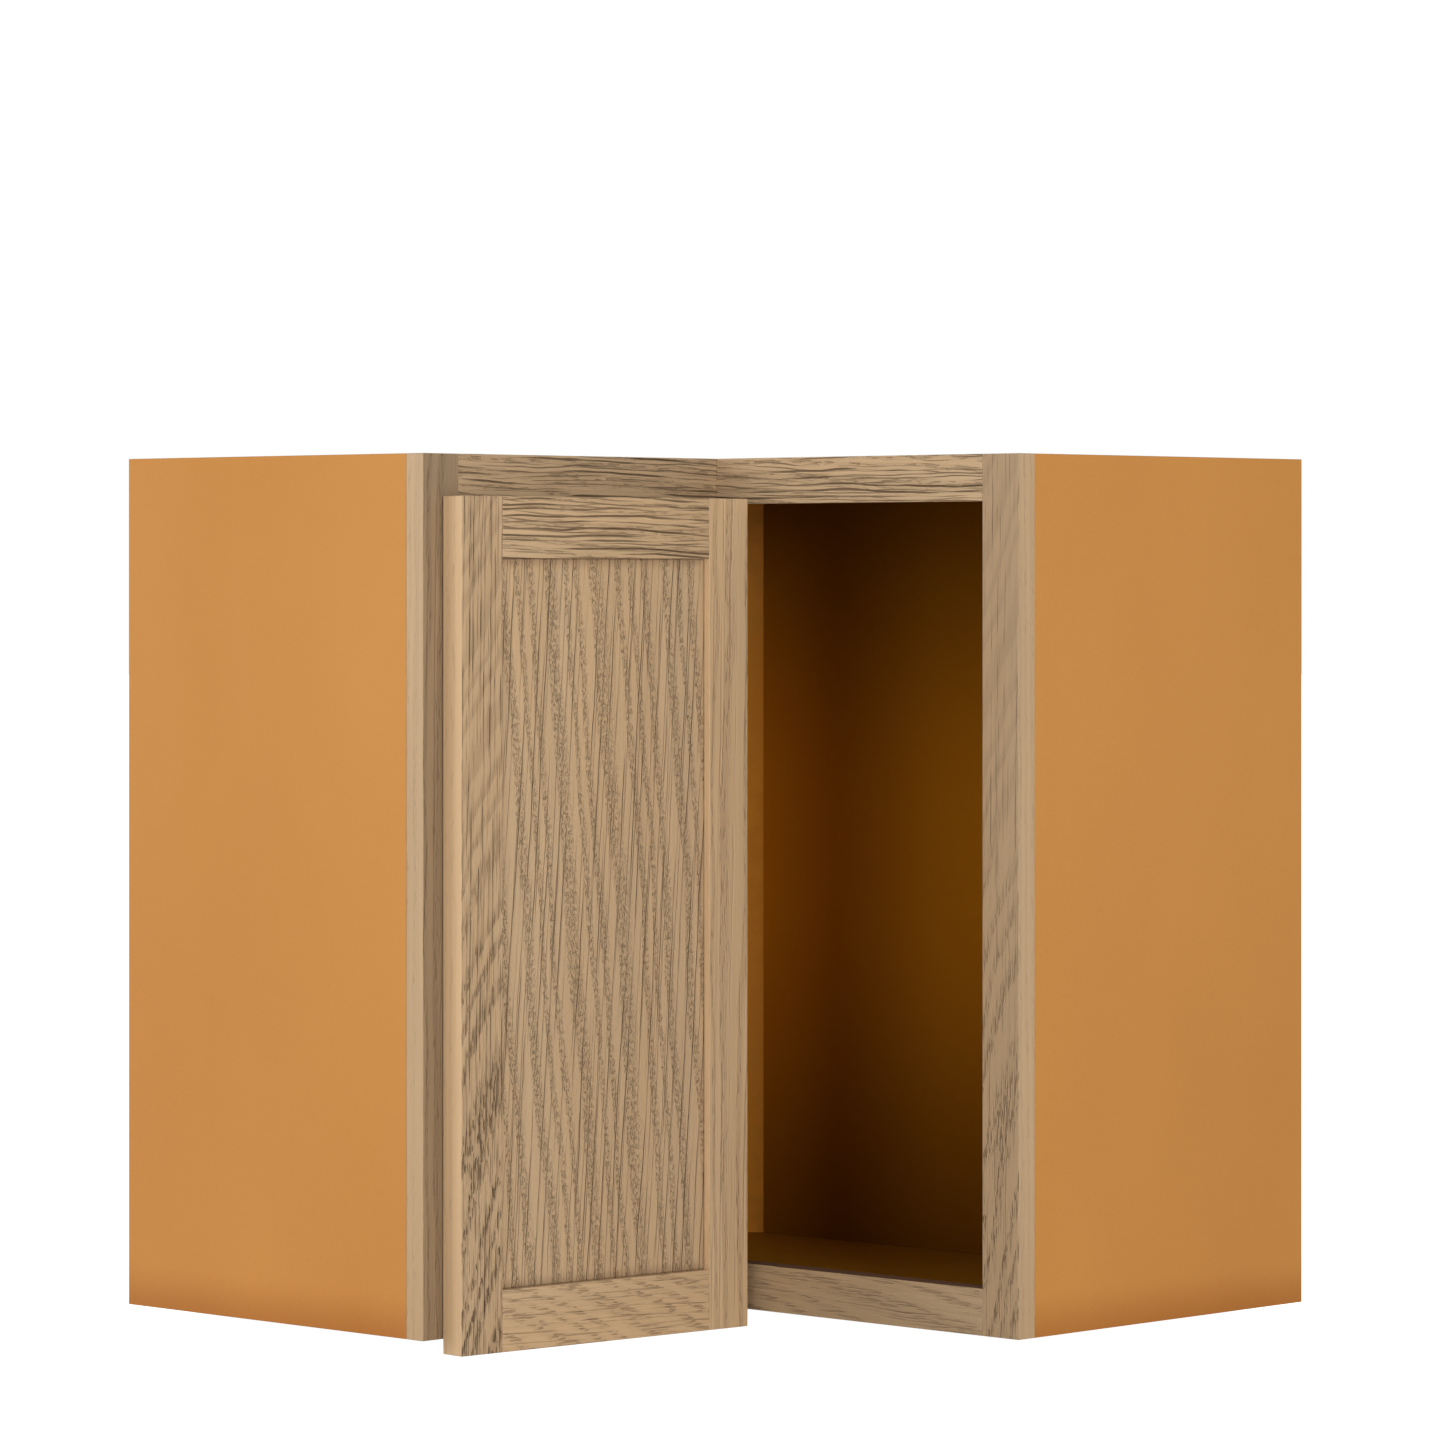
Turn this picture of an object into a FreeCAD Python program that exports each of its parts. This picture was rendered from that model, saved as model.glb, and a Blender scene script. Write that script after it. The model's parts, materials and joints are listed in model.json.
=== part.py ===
"""Corner wall cabinet with a face frame on each of its two open faces and one panelled door.

Frame of the part, in millimetres: the origin is the rear corner where the two walls of the room
meet, at the level of the cabinet's underside.  The right wing runs along +X against the wall
plane y = 0, the left wing runs along -Y against the wall plane x = 0, and +Z is up.  The face
frame of the left wing looks along +X and the face frame of the right wing looks along -Y.
The door hangs on the left face frame and stands a few degrees open.
"""
import FreeCAD, Part
import os
import re

import Sketcher

doc = FreeCAD.newDocument("corner_wall_cabinet")

# ---------------------------------------------------------------------------- driving sizes
SIZES = [
    # cabinet
    ("leg", 609.6, "length of each wing along its wall"),
    ("depth", 315.4, "wall plane to front of face frame"),
    ("height", 620, "underside to top"),
    ("frame_thick", 17.2, "thickness of the face frames"),
    ("stile_width", 34.1, "width of a face-frame stile"),
    ("rail_height", 33.2, "height of a face-frame rail"),
    ("board", 12.7, "end panels, top and floor"),
    ("rebate", 6, "how far top and floor enter the end panels"),
    ("back_thick", 4, "back panels"),
    ("hang_thick", 12, "hanging rails behind the back panels"),
    ("hang_height", 76, "height of a hanging rail"),
    ("corner_reach", 93, "x - y of the inner face of the corner panel"),
    ("corner_thick", 12, "corner panel, measured square to its face"),
    # door
    ("door_width", 266.3, "door, hinge edge to free edge"),
    ("door_height", 600.5, "door, bottom to top"),
    ("door_drop", 10.3, "how far the door hangs below the cabinet"),
    ("door_thick", 20.6, "door frame members"),
    ("door_gap", 2, "closed door's back to the face frame"),
    ("door_start", 592.7, "distance of the hinge edge from the right wall"),
    ("door_stile", 37.1, "width of a door stile"),
    ("door_rail", 43.6, "height of a door rail"),
    ("recess", 6, "door panel set back from the door's face"),
    ("panel_thick", 6.4, "door panel and its groove"),
    ("groove", 9, "depth of the panel groove"),
    ("panel_play", 0.5, "gap round the panel in its groove"),
    ("ajar", 4.72, "angle the door stands open, degrees"),
    # hinges
    ("hinge_inset", 70, "hinge centre from the door's end"),
    ("pin_in", 6, "pin axis in from the hinge edge"),
    ("pin_out", 13, "pin axis out from the face frame"),
    ("pin_radius", 1.25, "hinge pin"),
    ("pin_play", 0.05, "running clearance of the pin in the arm"),
    ("pin_half", 7.2, "half length of the pin"),
    ("cup_centre", 14.7, "cup axis in from the hinge edge"),
    ("cup_radius", 12.5, "outside of the cup"),
    ("cup_wall", 0.6, "wall of the cup"),
    ("cup_depth", 14.5, "cup below the door's back face"),
    ("flange_thick", 1.1, "cup flange on the door's back"),
    ("flange_half", 23.5, "half length of the cup flange"),
    ("ear_half", 7, "half width of the flange at its screws"),
    ("cup_screw_reach", 18.5, "cup screws up and down from the cup axis"),
    ("lug_start", 4.1, "inner face of the pin lugs from the cup axis"),
    ("lug_thick", 3.1, "thickness of a pin lug"),
    ("plate_thick", 2.5, "mounting plate"),
    ("plate_half", 25, "half height of the mounting plate"),
    ("plate_back", 15, "rear edge of the plate behind the frame front"),
    ("plate_front", 2, "front edge of the plate behind the frame front"),
    ("plate_screw_reach", 17, "plate screws up and down from its centre"),
    ("arm_thick", 2, "steel of the hinge arm"),
    ("neck_thick", 1.6, "steel of the arm's neck"),
    ("arm_half", 3.5, "half height of the arm"),
    ("foot_half", 8, "half height of the arm's foot"),
    ("eye_radius", 2.1, "outside of the arm's eye"),
    ("lug_lead", 1.375, "lug metal from the pin's centre to the hinge edge side"),
    # fasteners and small parts
    ("dowel_radius", 3, "frame dowels"),
    ("dowel_half", 15, "dowel length in each member"),
    ("dowel_inset", 9, "dowel from the rail's edge"),
    ("screw_radius", 1.7, "shank of the hinge screws"),
    ("screw_head", 3.4, "head of the hinge screws"),
    ("screw_head_thick", 1.6, "head thickness of the plate screws"),
    ("cup_head_thick", 0.6, "head thickness of the cup screws"),
    ("screw_length", 13, "shank length of the hinge screws"),
    ("arm_screw_radius", 1.5, "screw holding the arm on the plate"),
    ("corner_screw_radius", 2.2, "shank of the corner screws"),
    ("corner_head", 4.1, "head of the corner screws"),
    ("corner_head_thick", 3, "head thickness of the corner screws"),
    ("corner_screw_length", 40, "whole length of the corner screws"),
    ("bumper_radius", 4.5, "door bumper"),
    ("bumper_thick", 1.7, "door bumper"),
    ("bumper_height", 12, "bumpers above the cabinet's underside"),
    ("bumper_inset", 22, "free-side bumper from the door's edge"),
    ("bumper_start", 44, "hinge-side bumper from the door's edge, clear of the frame stile"),
]

sheet = doc.addObject("Spreadsheet::Sheet", "sizes")
for row, (alias, value, note) in enumerate(SIZES, start=1):
    sheet.set(f"A{row}", note)
    sheet.set(f"B{row}", str(value))
    sheet.setAlias(f"B{row}", alias)
doc.recompute()

ALIASES = {alias for alias, _value, _note in SIZES}

ON_AXIS = 1e-9  # mm, below which a coordinate counts as lying on an axis
LEAST_CUT = 1e-3  # mm3, the least volume that a pocket has to take away


def bound(formula):
    """Turn a formula in plain size names into one that reads the sheet."""
    return re.sub(r"[a-z_]+", lambda m: "sizes." + m.group() if m.group() in ALIASES else m.group(),
                  formula)


def number(formula):
    """The present value of a formula."""
    return float(sheet.evalExpression(bound(formula)))


# ---------------------------------------------------------------------------- shape helpers
def new_body(label):
    """An empty body whose label is the node's name."""
    body = doc.addObject("PartDesign::Body", label)
    body.Label = label
    return body


def bind(thing, path, formula):
    """Bind one property of an object to a formula of the sheet's sizes."""
    thing.setExpression(path, bound(formula))


def new_sketch(body, plane, offset="0"):
    """A sketch on one of the body's own origin planes, moved along its normal."""
    support = next(feature for feature in body.Origin.OriginFeatures if feature.Role == plane)
    sketch = body.newObject("Sketcher::SketchObject", f"{body.Name}_sketch")
    sketch.AttachmentSupport = [(support, "")]
    sketch.MapMode = "FlatFace"
    if offset != "0":
        bind(sketch, "AttachmentOffset.Base.z", offset)
    return sketch


def pin_coordinate(sketch, kind, axis, index, place, formula):
    """Hold one coordinate of a sketch point at a formula's value."""
    value = number(formula)
    if abs(value) < ON_AXIS:
        sketch.addConstraint(Sketcher.Constraint("PointOnObject", index, place, axis))
        return
    if value > 0:
        constraint = Sketcher.Constraint(kind, -1, 1, index, place, value)
        held = formula
    else:
        constraint = Sketcher.Constraint(kind, index, place, -1, 1, -value)
        held = f"-({formula})"
    row = sketch.addConstraint(constraint)
    bind(sketch, f"Constraints[{row}]", held)


def pin_point(sketch, index, place, point):
    """Hold both coordinates of a sketch point."""
    pin_coordinate(sketch, "DistanceX", -2, index, place, point[0])
    pin_coordinate(sketch, "DistanceY", -1, index, place, point[1])


def draw_outline(sketch, points):
    """A closed outline of straight lines through points given as pairs of formulas."""
    first = sketch.GeometryCount
    corners = [FreeCAD.Vector(number(a), number(b), 0) for a, b in points]
    count = len(corners)
    for index, corner in enumerate(corners):
        sketch.addGeometry(Part.LineSegment(corner, corners[(index + 1) % count]), False)
    for index in range(count):
        following = first + (index + 1) % count
        sketch.addConstraint(Sketcher.Constraint("Coincident", first + index, 2, following, 1))
    for index, point in enumerate(points):
        pin_point(sketch, first + index, 1, point)


def draw_circles(sketch, centres, radius):
    """Circles of one radius at centres given as pairs of formulas."""
    for centre in centres:
        middle = FreeCAD.Vector(number(centre[0]), number(centre[1]), 0)
        index = sketch.addGeometry(Part.Circle(middle, FreeCAD.Vector(0, 0, 1), number(radius)), False)
        pin_point(sketch, index, 3, centre)
        row = sketch.addConstraint(Sketcher.Constraint("Radius", index, number(radius)))
        bind(sketch, f"Constraints[{row}]", radius)


def rectangle(x_low, x_high, y_low, y_high):
    """The corners of an upright rectangle."""
    return [(x_low, y_low), (x_high, y_low), (x_high, y_high), (x_low, y_high)]


def pad(body, sketch, length, backward=False, both_ways=False):
    """Extrude a sketch along its plane's normal, against it, or evenly both ways."""
    feature = body.newObject("PartDesign::Pad", f"{body.Name}_pad")
    feature.Profile = sketch
    feature.Reversed = backward
    feature.Midplane = both_ways
    bind(feature, "Length", length)
    return feature


def cut(body, sketch, length, along=False):
    """Cut a sketch into the body, against its plane's normal or along it."""
    doc.recompute()
    volume_before = body.Shape.Volume
    feature = body.newObject("PartDesign::Pocket", f"{body.Name}_pocket")
    feature.Profile = sketch
    feature.Reversed = along
    bind(feature, "Length", length)
    doc.recompute()
    if body.Shape.Volume > volume_before - LEAST_CUT:
        raise RuntimeError(f"a pocket of {body.Label} cuts nothing")
    return feature


def bore(body, plane, offset, centres, radius, length, along=False):
    """Round holes that start on a plane parallel to one of the origin planes."""
    sketch = new_sketch(body, plane, offset)
    draw_circles(sketch, centres, radius)
    return cut(body, sketch, length, along)


def prism(label, outline, bottom, top):
    """An upright board: an outline seen from above, from one level to another."""
    body = new_body(label)
    sketch = new_sketch(body, "XY_Plane")
    draw_outline(sketch, outline)
    pad(body, sketch, f"({top}) - ({bottom})")
    bind(body, "Placement.Base.z", bottom)
    return body


def place_on_door(thing):
    """Swing a piece drawn on the closed door round the pin axis to where the door stands.

    The closed door is drawn with x measured out from the face frame, y measured in from the
    hinge edge and z from the cabinet's underside.
    """
    down = FreeCAD.Vector(0, 0, -1)
    thing.Placement = FreeCAD.Placement(FreeCAD.Vector(), FreeCAD.Rotation(down, number("ajar")))
    bind(thing, "Placement.Base.x", "depth + pin_out - pin_out * cos(ajar) - pin_in * sin(ajar)")
    bind(thing, "Placement.Base.y",
         "-door_start + pin_in + pin_out * sin(ajar) - pin_in * cos(ajar)")
    bind(thing, "Placement.Rotation.Angle", "ajar")
    return thing


def place_at_hinge_edge(thing):
    """Move a piece drawn in the closed door's axes to the cabinet, without swinging it."""
    bind(thing, "Placement.Base.x", "depth")
    bind(thing, "Placement.Base.y", "-door_start")
    return thing


ALONG_X = FreeCAD.Rotation(FreeCAD.Vector(0, 1, 0), 90)
AGAINST_Y = FreeCAD.Rotation(FreeCAD.Vector(1, 0, 0), 90)
UPRIGHT = FreeCAD.Rotation()


def rod(name, start, turn, radius, length):
    """A cylinder from a start point along a turned Z axis."""
    cylinder = doc.addObject("Part::Cylinder", name)
    cylinder.Placement = FreeCAD.Placement(FreeCAD.Vector(), turn)
    bind(cylinder, "Radius", radius)
    bind(cylinder, "Height", length)
    for axis, formula in zip("xyz", start):
        bind(cylinder, f"Placement.Base.{axis}", formula)
    return cylinder


def screw(name, start, turn, step, radius, length, head, head_thick):
    """A screw whose head starts at one point and whose shank runs on from under the head.

    step gives the direction of the shank as a sign for each of x, y and z.
    """
    seat = [f"({place}) + ({sign}) * {head_thick}" for place, sign in zip(start, step)]
    shank = rod(f"{name}_shank", seat, turn, radius, length)
    cap = rod(f"{name}_head", start, turn, head, head_thick)
    whole = doc.addObject("Part::Fuse", name)
    whole.Base = shank
    whole.Tool = cap
    return whole


def group(label, pieces):
    """Identical pieces that share one node."""
    bundle = doc.addObject("Part::Compound", label)
    bundle.Label = label
    bundle.Links = pieces
    return bundle


# ---------------------------------------------------------------------------- the case
FRAME_BACK = "depth - frame_thick"
INNER_END = "leg - board"
SEAT_END = "leg - board + rebate"
BACK_FACE = "hang_thick + back_thick"
CORNER_CUT = "corner_reach - corner_thick * sqrt(2)"
TOP_UNDERSIDE = "height - board"


def make_end_panels():
    """Two laminated end panels, rebated for top and floor and grooved for the back panel."""
    profile = [
        ("leg", "0"),
        ("leg", "height"),
        (SEAT_END, "height"),
        (SEAT_END, TOP_UNDERSIDE),
        (INNER_END, TOP_UNDERSIDE),
        (INNER_END, "board"),
        (SEAT_END, "board"),
        (SEAT_END, "0"),
    ]
    right = new_body("right_end_panel")
    sketch = new_sketch(right, "XZ_Plane")
    draw_outline(sketch, profile)
    pad(right, sketch, FRAME_BACK)
    slot = new_sketch(right, "XY_Plane", "height")
    draw_outline(slot, rectangle(INNER_END, SEAT_END, f"-({BACK_FACE})", "-hang_thick"))
    cut(right, slot, "height")

    left = new_body("left_end_panel")
    sketch = new_sketch(left, "YZ_Plane")
    draw_outline(sketch, [(f"-({a})", b) for a, b in profile])
    pad(left, sketch, FRAME_BACK)
    slot = new_sketch(left, "XY_Plane", "height")
    draw_outline(slot, rectangle("hang_thick", BACK_FACE, f"-({SEAT_END})", f"-({INNER_END})"))
    cut(left, slot, "height")
    return [left, right]


def make_boards():
    """The L-shaped top and floor, with the rear corner cut off."""
    outline = [
        (CORNER_CUT, "0"),
        (SEAT_END, "0"),
        (SEAT_END, f"-({FRAME_BACK})"),
        (FRAME_BACK, f"-({FRAME_BACK})"),
        (FRAME_BACK, f"-({SEAT_END})"),
        ("0", f"-({SEAT_END})"),
        ("0", f"-({CORNER_CUT})"),
    ]
    floor = prism("floor_panel", outline, "0", "board")
    top = prism("top_panel", outline, TOP_UNDERSIDE, "height")
    return [floor, top]


def make_backs():
    """Thin back panels, the slanting corner panel and the hanging rails behind the backs."""
    near = f"corner_reach - ({BACK_FACE})"
    far = "corner_reach - hang_thick"
    outer = f"{CORNER_CUT} - hang_thick"
    right = prism("right_back_panel", [
        (far, "-hang_thick"),
        (near, f"-({BACK_FACE})"),
        (SEAT_END, f"-({BACK_FACE})"),
        (SEAT_END, "-hang_thick"),
    ], "board", TOP_UNDERSIDE)
    left = prism("left_back_panel", [
        ("hang_thick", f"-({far})"),
        (BACK_FACE, f"-({near})"),
        (BACK_FACE, f"-({SEAT_END})"),
        ("hang_thick", f"-({SEAT_END})"),
    ], "board", TOP_UNDERSIDE)
    corner = prism("corner_back_panel", [
        (outer, "-hang_thick"),
        (far, "-hang_thick"),
        ("hang_thick", f"-({far})"),
        ("hang_thick", f"-({outer})"),
    ], "board", TOP_UNDERSIDE)
    pieces = [left, right, corner]
    for level, bottom, top in (("lower", "board", "board + hang_height"),
                               ("upper", f"{TOP_UNDERSIDE} - hang_height", TOP_UNDERSIDE)):
        along_x = rectangle(CORNER_CUT, INNER_END, "-hang_thick", "0")
        along_y = rectangle("0", "hang_thick", f"-({INNER_END})", f"-({CORNER_CUT})")
        pieces.append(prism(f"{level}_right_hanging_rail", along_x, bottom, top))
        pieces.append(prism(f"{level}_left_hanging_rail", along_y, bottom, top))
    return pieces


# ---------------------------------------------------------------------------- face frames
STILE_EDGE = "leg - stile_width"
FRAME_MIDDLE = "depth - frame_thick / 2"
LOWER_DOWELS = ("dowel_inset", "rail_height - dowel_inset")
UPPER_DOWELS = ("height - rail_height + dowel_inset", "height - dowel_inset")
CORNER_SCREWS = ("rail_height - dowel_inset", "height - rail_height + dowel_inset")
RAILS = (("bottom", "0", "rail_height", LOWER_DOWELS, CORNER_SCREWS[0]),
         ("top", "height - rail_height", "height", UPPER_DOWELS, CORNER_SCREWS[1]))


def make_left_frame():
    """Stile, top rail and bottom rail of the face that looks along +X."""
    stile = prism("left_frame_stile",
                  rectangle(FRAME_BACK, "depth", "-leg", f"-({STILE_EDGE})"), "0", "height")
    holes = [(FRAME_MIDDLE, level) for level in LOWER_DOWELS + UPPER_DOWELS]
    bore(stile, "XZ_Plane", STILE_EDGE, holes, "dowel_radius", "dowel_half", along=True)
    rails = []
    for name, bottom, top, dowels, corner in RAILS:
        outline = rectangle(FRAME_BACK, "depth", f"-({STILE_EDGE})", f"-({FRAME_BACK})")
        rail = prism(f"left_{name}_rail", outline, bottom, top)
        low = [(FRAME_MIDDLE, f"({level}) - ({bottom})") for level in dowels]
        bore(rail, "XZ_Plane", STILE_EDGE, low, "dowel_radius", "dowel_half")
        seat = [(f"-({FRAME_MIDDLE})", f"({corner}) - ({bottom})")]
        bore(rail, "YZ_Plane", FRAME_BACK, seat, "corner_head", "corner_head_thick", along=True)
        bore(rail, "YZ_Plane", FRAME_BACK, seat, "corner_screw_radius", "frame_thick", along=True)
        rails.append(rail)
    return [stile] + rails


def make_right_frame():
    """Stile, top rail and bottom rail of the face that looks along -Y."""
    stile = prism("right_frame_stile",
                  rectangle(STILE_EDGE, "leg", "-depth", f"-({FRAME_BACK})"), "0", "height")
    holes = [(f"-({FRAME_MIDDLE})", level) for level in LOWER_DOWELS + UPPER_DOWELS]
    bore(stile, "YZ_Plane", STILE_EDGE, holes, "dowel_radius", "dowel_half", along=True)
    rails = []
    for name, bottom, top, dowels, corner in RAILS:
        outline = rectangle("depth", STILE_EDGE, "-depth", f"-({FRAME_BACK})")
        rail = prism(f"right_{name}_rail", outline, bottom, top)
        low = [(f"-({FRAME_MIDDLE})", f"({level}) - ({bottom})") for level in dowels]
        bore(rail, "YZ_Plane", STILE_EDGE, low, "dowel_radius", "dowel_half")
        seat = [(f"-({FRAME_MIDDLE})", f"({corner}) - ({bottom})")]
        bore(rail, "YZ_Plane", "depth", seat, "corner_screw_radius",
             "corner_screw_length - frame_thick", along=True)
        rails.append(rail)
    return [stile] + rails


def make_frame_fasteners():
    """Dowels between rails and stiles, and the screws that tie the rails at the inner corner."""
    levels = LOWER_DOWELS + UPPER_DOWELS
    start = f"{STILE_EDGE} - dowel_half"
    dowels = []
    for index, level in enumerate(levels):
        dowels.append(rod(f"left_dowel_{index}", (FRAME_MIDDLE, f"-({start})", level), AGAINST_Y,
                          "dowel_radius", "2 * dowel_half"))
        dowels.append(rod(f"right_dowel_{index}", (start, f"-({FRAME_MIDDLE})", level), ALONG_X,
                          "dowel_radius", "2 * dowel_half"))
    screws = []
    for index, level in enumerate(CORNER_SCREWS):
        screws.append(screw(f"corner_screw_{index}", (FRAME_BACK, f"-({FRAME_MIDDLE})", level),
                            ALONG_X, ("1", "0", "0"), "corner_screw_radius",
                            "corner_screw_length - corner_head_thick", "corner_head",
                            "corner_head_thick"))
    return [group("frame_dowels", dowels), group("corner_rail_screws", screws)]


# ---------------------------------------------------------------------------- the door
DOOR_BACK = "door_gap"
DOOR_FACE = "door_gap + door_thick"
PANEL_FACE = "door_gap + door_thick - recess"
PANEL_BACK = "door_gap + door_thick - recess - panel_thick"
DOOR_TOP = "door_height - door_drop"
HINGE_LEVELS = {"lower": "hinge_inset - door_drop", "upper": "door_height - door_drop - hinge_inset"}


def make_door_stiles():
    """Two door stiles with the panel groove, the hinge stile also bored for the cups."""
    hinge_stile = prism("door_hinge_stile", [
        (DOOR_BACK, "0"),
        (DOOR_FACE, "0"),
        (DOOR_FACE, "door_stile"),
        (PANEL_FACE, "door_stile"),
        (PANEL_FACE, "door_stile - groove"),
        (PANEL_BACK, "door_stile - groove"),
        (PANEL_BACK, "door_stile"),
        (DOOR_BACK, "door_stile"),
    ], "-door_drop", DOOR_TOP)
    cups = [("cup_centre", f"({level}) + door_drop") for level in HINGE_LEVELS.values()]
    bore(hinge_stile, "YZ_Plane", DOOR_BACK, cups, "cup_radius", "cup_depth", along=True)
    pilots = []
    for side, level in cups:
        pilots.append((side, f"{level} - cup_screw_reach"))
        pilots.append((side, f"{level} + cup_screw_reach"))
    bore(hinge_stile, "YZ_Plane", DOOR_BACK, pilots, "screw_radius",
         "screw_length - flange_thick", along=True)
    free_stile = prism("door_free_stile", [
        (DOOR_BACK, "door_width"),
        (DOOR_FACE, "door_width"),
        (DOOR_FACE, "door_width - door_stile"),
        (PANEL_FACE, "door_width - door_stile"),
        (PANEL_FACE, "door_width - door_stile + groove"),
        (PANEL_BACK, "door_width - door_stile + groove"),
        (PANEL_BACK, "door_width - door_stile"),
        (DOOR_BACK, "door_width - door_stile"),
    ], "-door_drop", DOOR_TOP)
    return [hinge_stile, free_stile]


def make_door_rail(label, outside, inside, groove_end):
    """A door rail: grooved body between the stiles and a tongue into each stile's groove."""
    body = new_body(label)
    profile = new_sketch(body, "XZ_Plane", "-door_stile")
    draw_outline(profile, [
        (DOOR_BACK, outside),
        (DOOR_FACE, outside),
        (DOOR_FACE, inside),
        (PANEL_FACE, inside),
        (PANEL_FACE, groove_end),
        (PANEL_BACK, groove_end),
        (PANEL_BACK, inside),
        (DOOR_BACK, inside),
    ])
    pad(body, profile, "door_width - 2 * door_stile", backward=True)
    tongue = new_sketch(body, "XZ_Plane", "groove - door_stile")
    draw_outline(tongue, rectangle(PANEL_BACK, PANEL_FACE, outside, groove_end))
    pad(body, tongue, "door_width - 2 * door_stile + 2 * groove", backward=True)
    return body


def make_door():
    """The framed door and its flat panel."""
    bottom = make_door_rail("door_bottom_rail", "-door_drop", "door_rail - door_drop",
                            "door_rail - door_drop - groove")
    top = make_door_rail("door_top_rail", DOOR_TOP, f"{DOOR_TOP} - door_rail",
                         f"{DOOR_TOP} - door_rail + groove")
    margin = "groove - panel_play"
    panel = prism("door_panel",
                  rectangle(PANEL_BACK, PANEL_FACE, f"door_stile - ({margin})",
                            f"door_width - door_stile + ({margin})"),
                  f"door_rail - door_drop - ({margin})", f"{DOOR_TOP} - door_rail + ({margin})")
    return [place_on_door(piece) for piece in make_door_stiles() + [top, bottom, panel]]


def make_bumpers():
    """Two soft dots on the door's back that meet the bottom rail when the door shuts."""
    start = "door_gap - bumper_thick"
    dots = [rod(f"bumper_{index}", (start, place, "bumper_height"), ALONG_X, "bumper_radius",
                "bumper_thick")
            for index, place in enumerate(("bumper_start", "door_width - bumper_inset"))]
    return [place_on_door(group("door_bumpers", dots))]


# ---------------------------------------------------------------------------- the hinges
PLATE_FACE = "door_start - leg + stile_width + plate_thick"
CUP_FLOOR = "door_gap + cup_depth - cup_wall"


def make_hinge_cup(label, level):
    """A pressed cup with its flange, two screw ears and the two lugs that hold the pin."""
    body = new_body(label)
    flange = new_sketch(body, "YZ_Plane", "door_gap - flange_thick")
    draw_outline(flange, rectangle("cup_centre - ear_half", "cup_centre + ear_half",
                                   f"{level} - flange_half", f"{level} + flange_half"))
    pad(body, flange, "flange_thick")
    barrel = new_sketch(body, "YZ_Plane", "door_gap - flange_thick")
    draw_circles(barrel, [("cup_centre", level)], "cup_radius")
    pad(body, barrel, "cup_depth + flange_thick")
    hollow = "cup_radius - cup_wall"
    bore(body, "YZ_Plane", "door_gap - flange_thick", [("cup_centre", level)], hollow,
         "cup_depth + flange_thick - cup_wall", along=True)
    for side in ("-", "+"):
        start = f"{level} {side} lug_start"
        end = f"{level} {side} (lug_start + lug_thick)"
        lug = new_sketch(body, "YZ_Plane", "pin_out - eye_radius")
        low, high = (end, start) if side == "-" else (start, end)
        draw_outline(lug, rectangle("pin_in - lug_lead", "pin_in + eye_radius", low, high))
        pad(body, lug, f"{CUP_FLOOR} + cup_wall / 2 - pin_out + eye_radius")
    holes = [("cup_centre", f"{level} - cup_screw_reach"), ("cup_centre", f"{level} + cup_screw_reach")]
    bore(body, "YZ_Plane", "door_gap - flange_thick", holes, "screw_radius", "flange_thick", along=True)
    bore(body, "XY_Plane", f"{level} - pin_half", [("pin_out", "pin_in")], "pin_radius",
         "2 * pin_half", along=True)
    return body


def make_hinge_arm(label, level):
    """The steel arm: a foot on the mounting plate, a leg into the cup and a neck to the pin eye."""
    body = new_body(label)
    neck_low = "pin_out - neck_thick / 2"
    neck_high = "pin_out + neck_thick / 2"
    leg_far = f"{PLATE_FACE} + arm_thick"
    strip = new_sketch(body, "XY_Plane", level)
    draw_outline(strip, [
        ("-plate_back", PLATE_FACE),
        ("-plate_back", leg_far),
        (neck_high, leg_far),
        (neck_high, "pin_in"),
        (neck_low, "pin_in"),
        (neck_low, PLATE_FACE),
    ])
    pad(body, strip, "2 * arm_half", both_ways=True)
    foot = new_sketch(body, "XY_Plane", level)
    draw_outline(foot, rectangle("-plate_back", "-plate_front", PLATE_FACE, leg_far))
    pad(body, foot, "2 * foot_half", both_ways=True)
    eye = new_sketch(body, "XY_Plane", level)
    draw_circles(eye, [("pin_out", "pin_in")], "eye_radius")
    pad(body, eye, "2 * arm_half", both_ways=True)
    bore(body, "XY_Plane", f"{level} - arm_half", [("pin_out", "pin_in")], "pin_radius + pin_play",
         "2 * arm_half", along=True)
    bore(body, "XZ_Plane", f"-({leg_far})", [("-(plate_back + plate_front) / 2", level)],
         "arm_screw_radius", "arm_thick", along=True)
    return body


def make_mounting_plate(label, level):
    """The plate screwed to the inner edge of the left stile."""
    body = new_body(label)
    sketch = new_sketch(body, "XZ_Plane", f"-({PLATE_FACE})")
    draw_outline(sketch, rectangle("-plate_back", "-plate_front", f"{level} - plate_half",
                                   f"{level} + plate_half"))
    pad(body, sketch, "plate_thick")
    middle = "-(plate_back + plate_front) / 2"
    holes = [(middle, f"{level} - plate_screw_reach"), (middle, f"{level} + plate_screw_reach")]
    bore(body, "XZ_Plane", f"-({PLATE_FACE})", holes, "screw_radius", "plate_thick", along=True)
    bore(body, "XZ_Plane", f"-({PLATE_FACE})", [(middle, level)], "arm_screw_radius",
         "plate_thick", along=True)
    return body


def bore_stile_for_plates(stile):
    """Pilot holes in the left stile for the screws of both mounting plates."""
    middle = "depth - (plate_back + plate_front) / 2"
    holes = []
    for level in HINGE_LEVELS.values():
        holes.append((middle, f"{level} - plate_screw_reach"))
        holes.append((middle, f"{level} + plate_screw_reach"))
    bore(stile, "XZ_Plane", STILE_EDGE, holes, "screw_radius", "screw_length - plate_thick",
         along=True)


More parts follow.
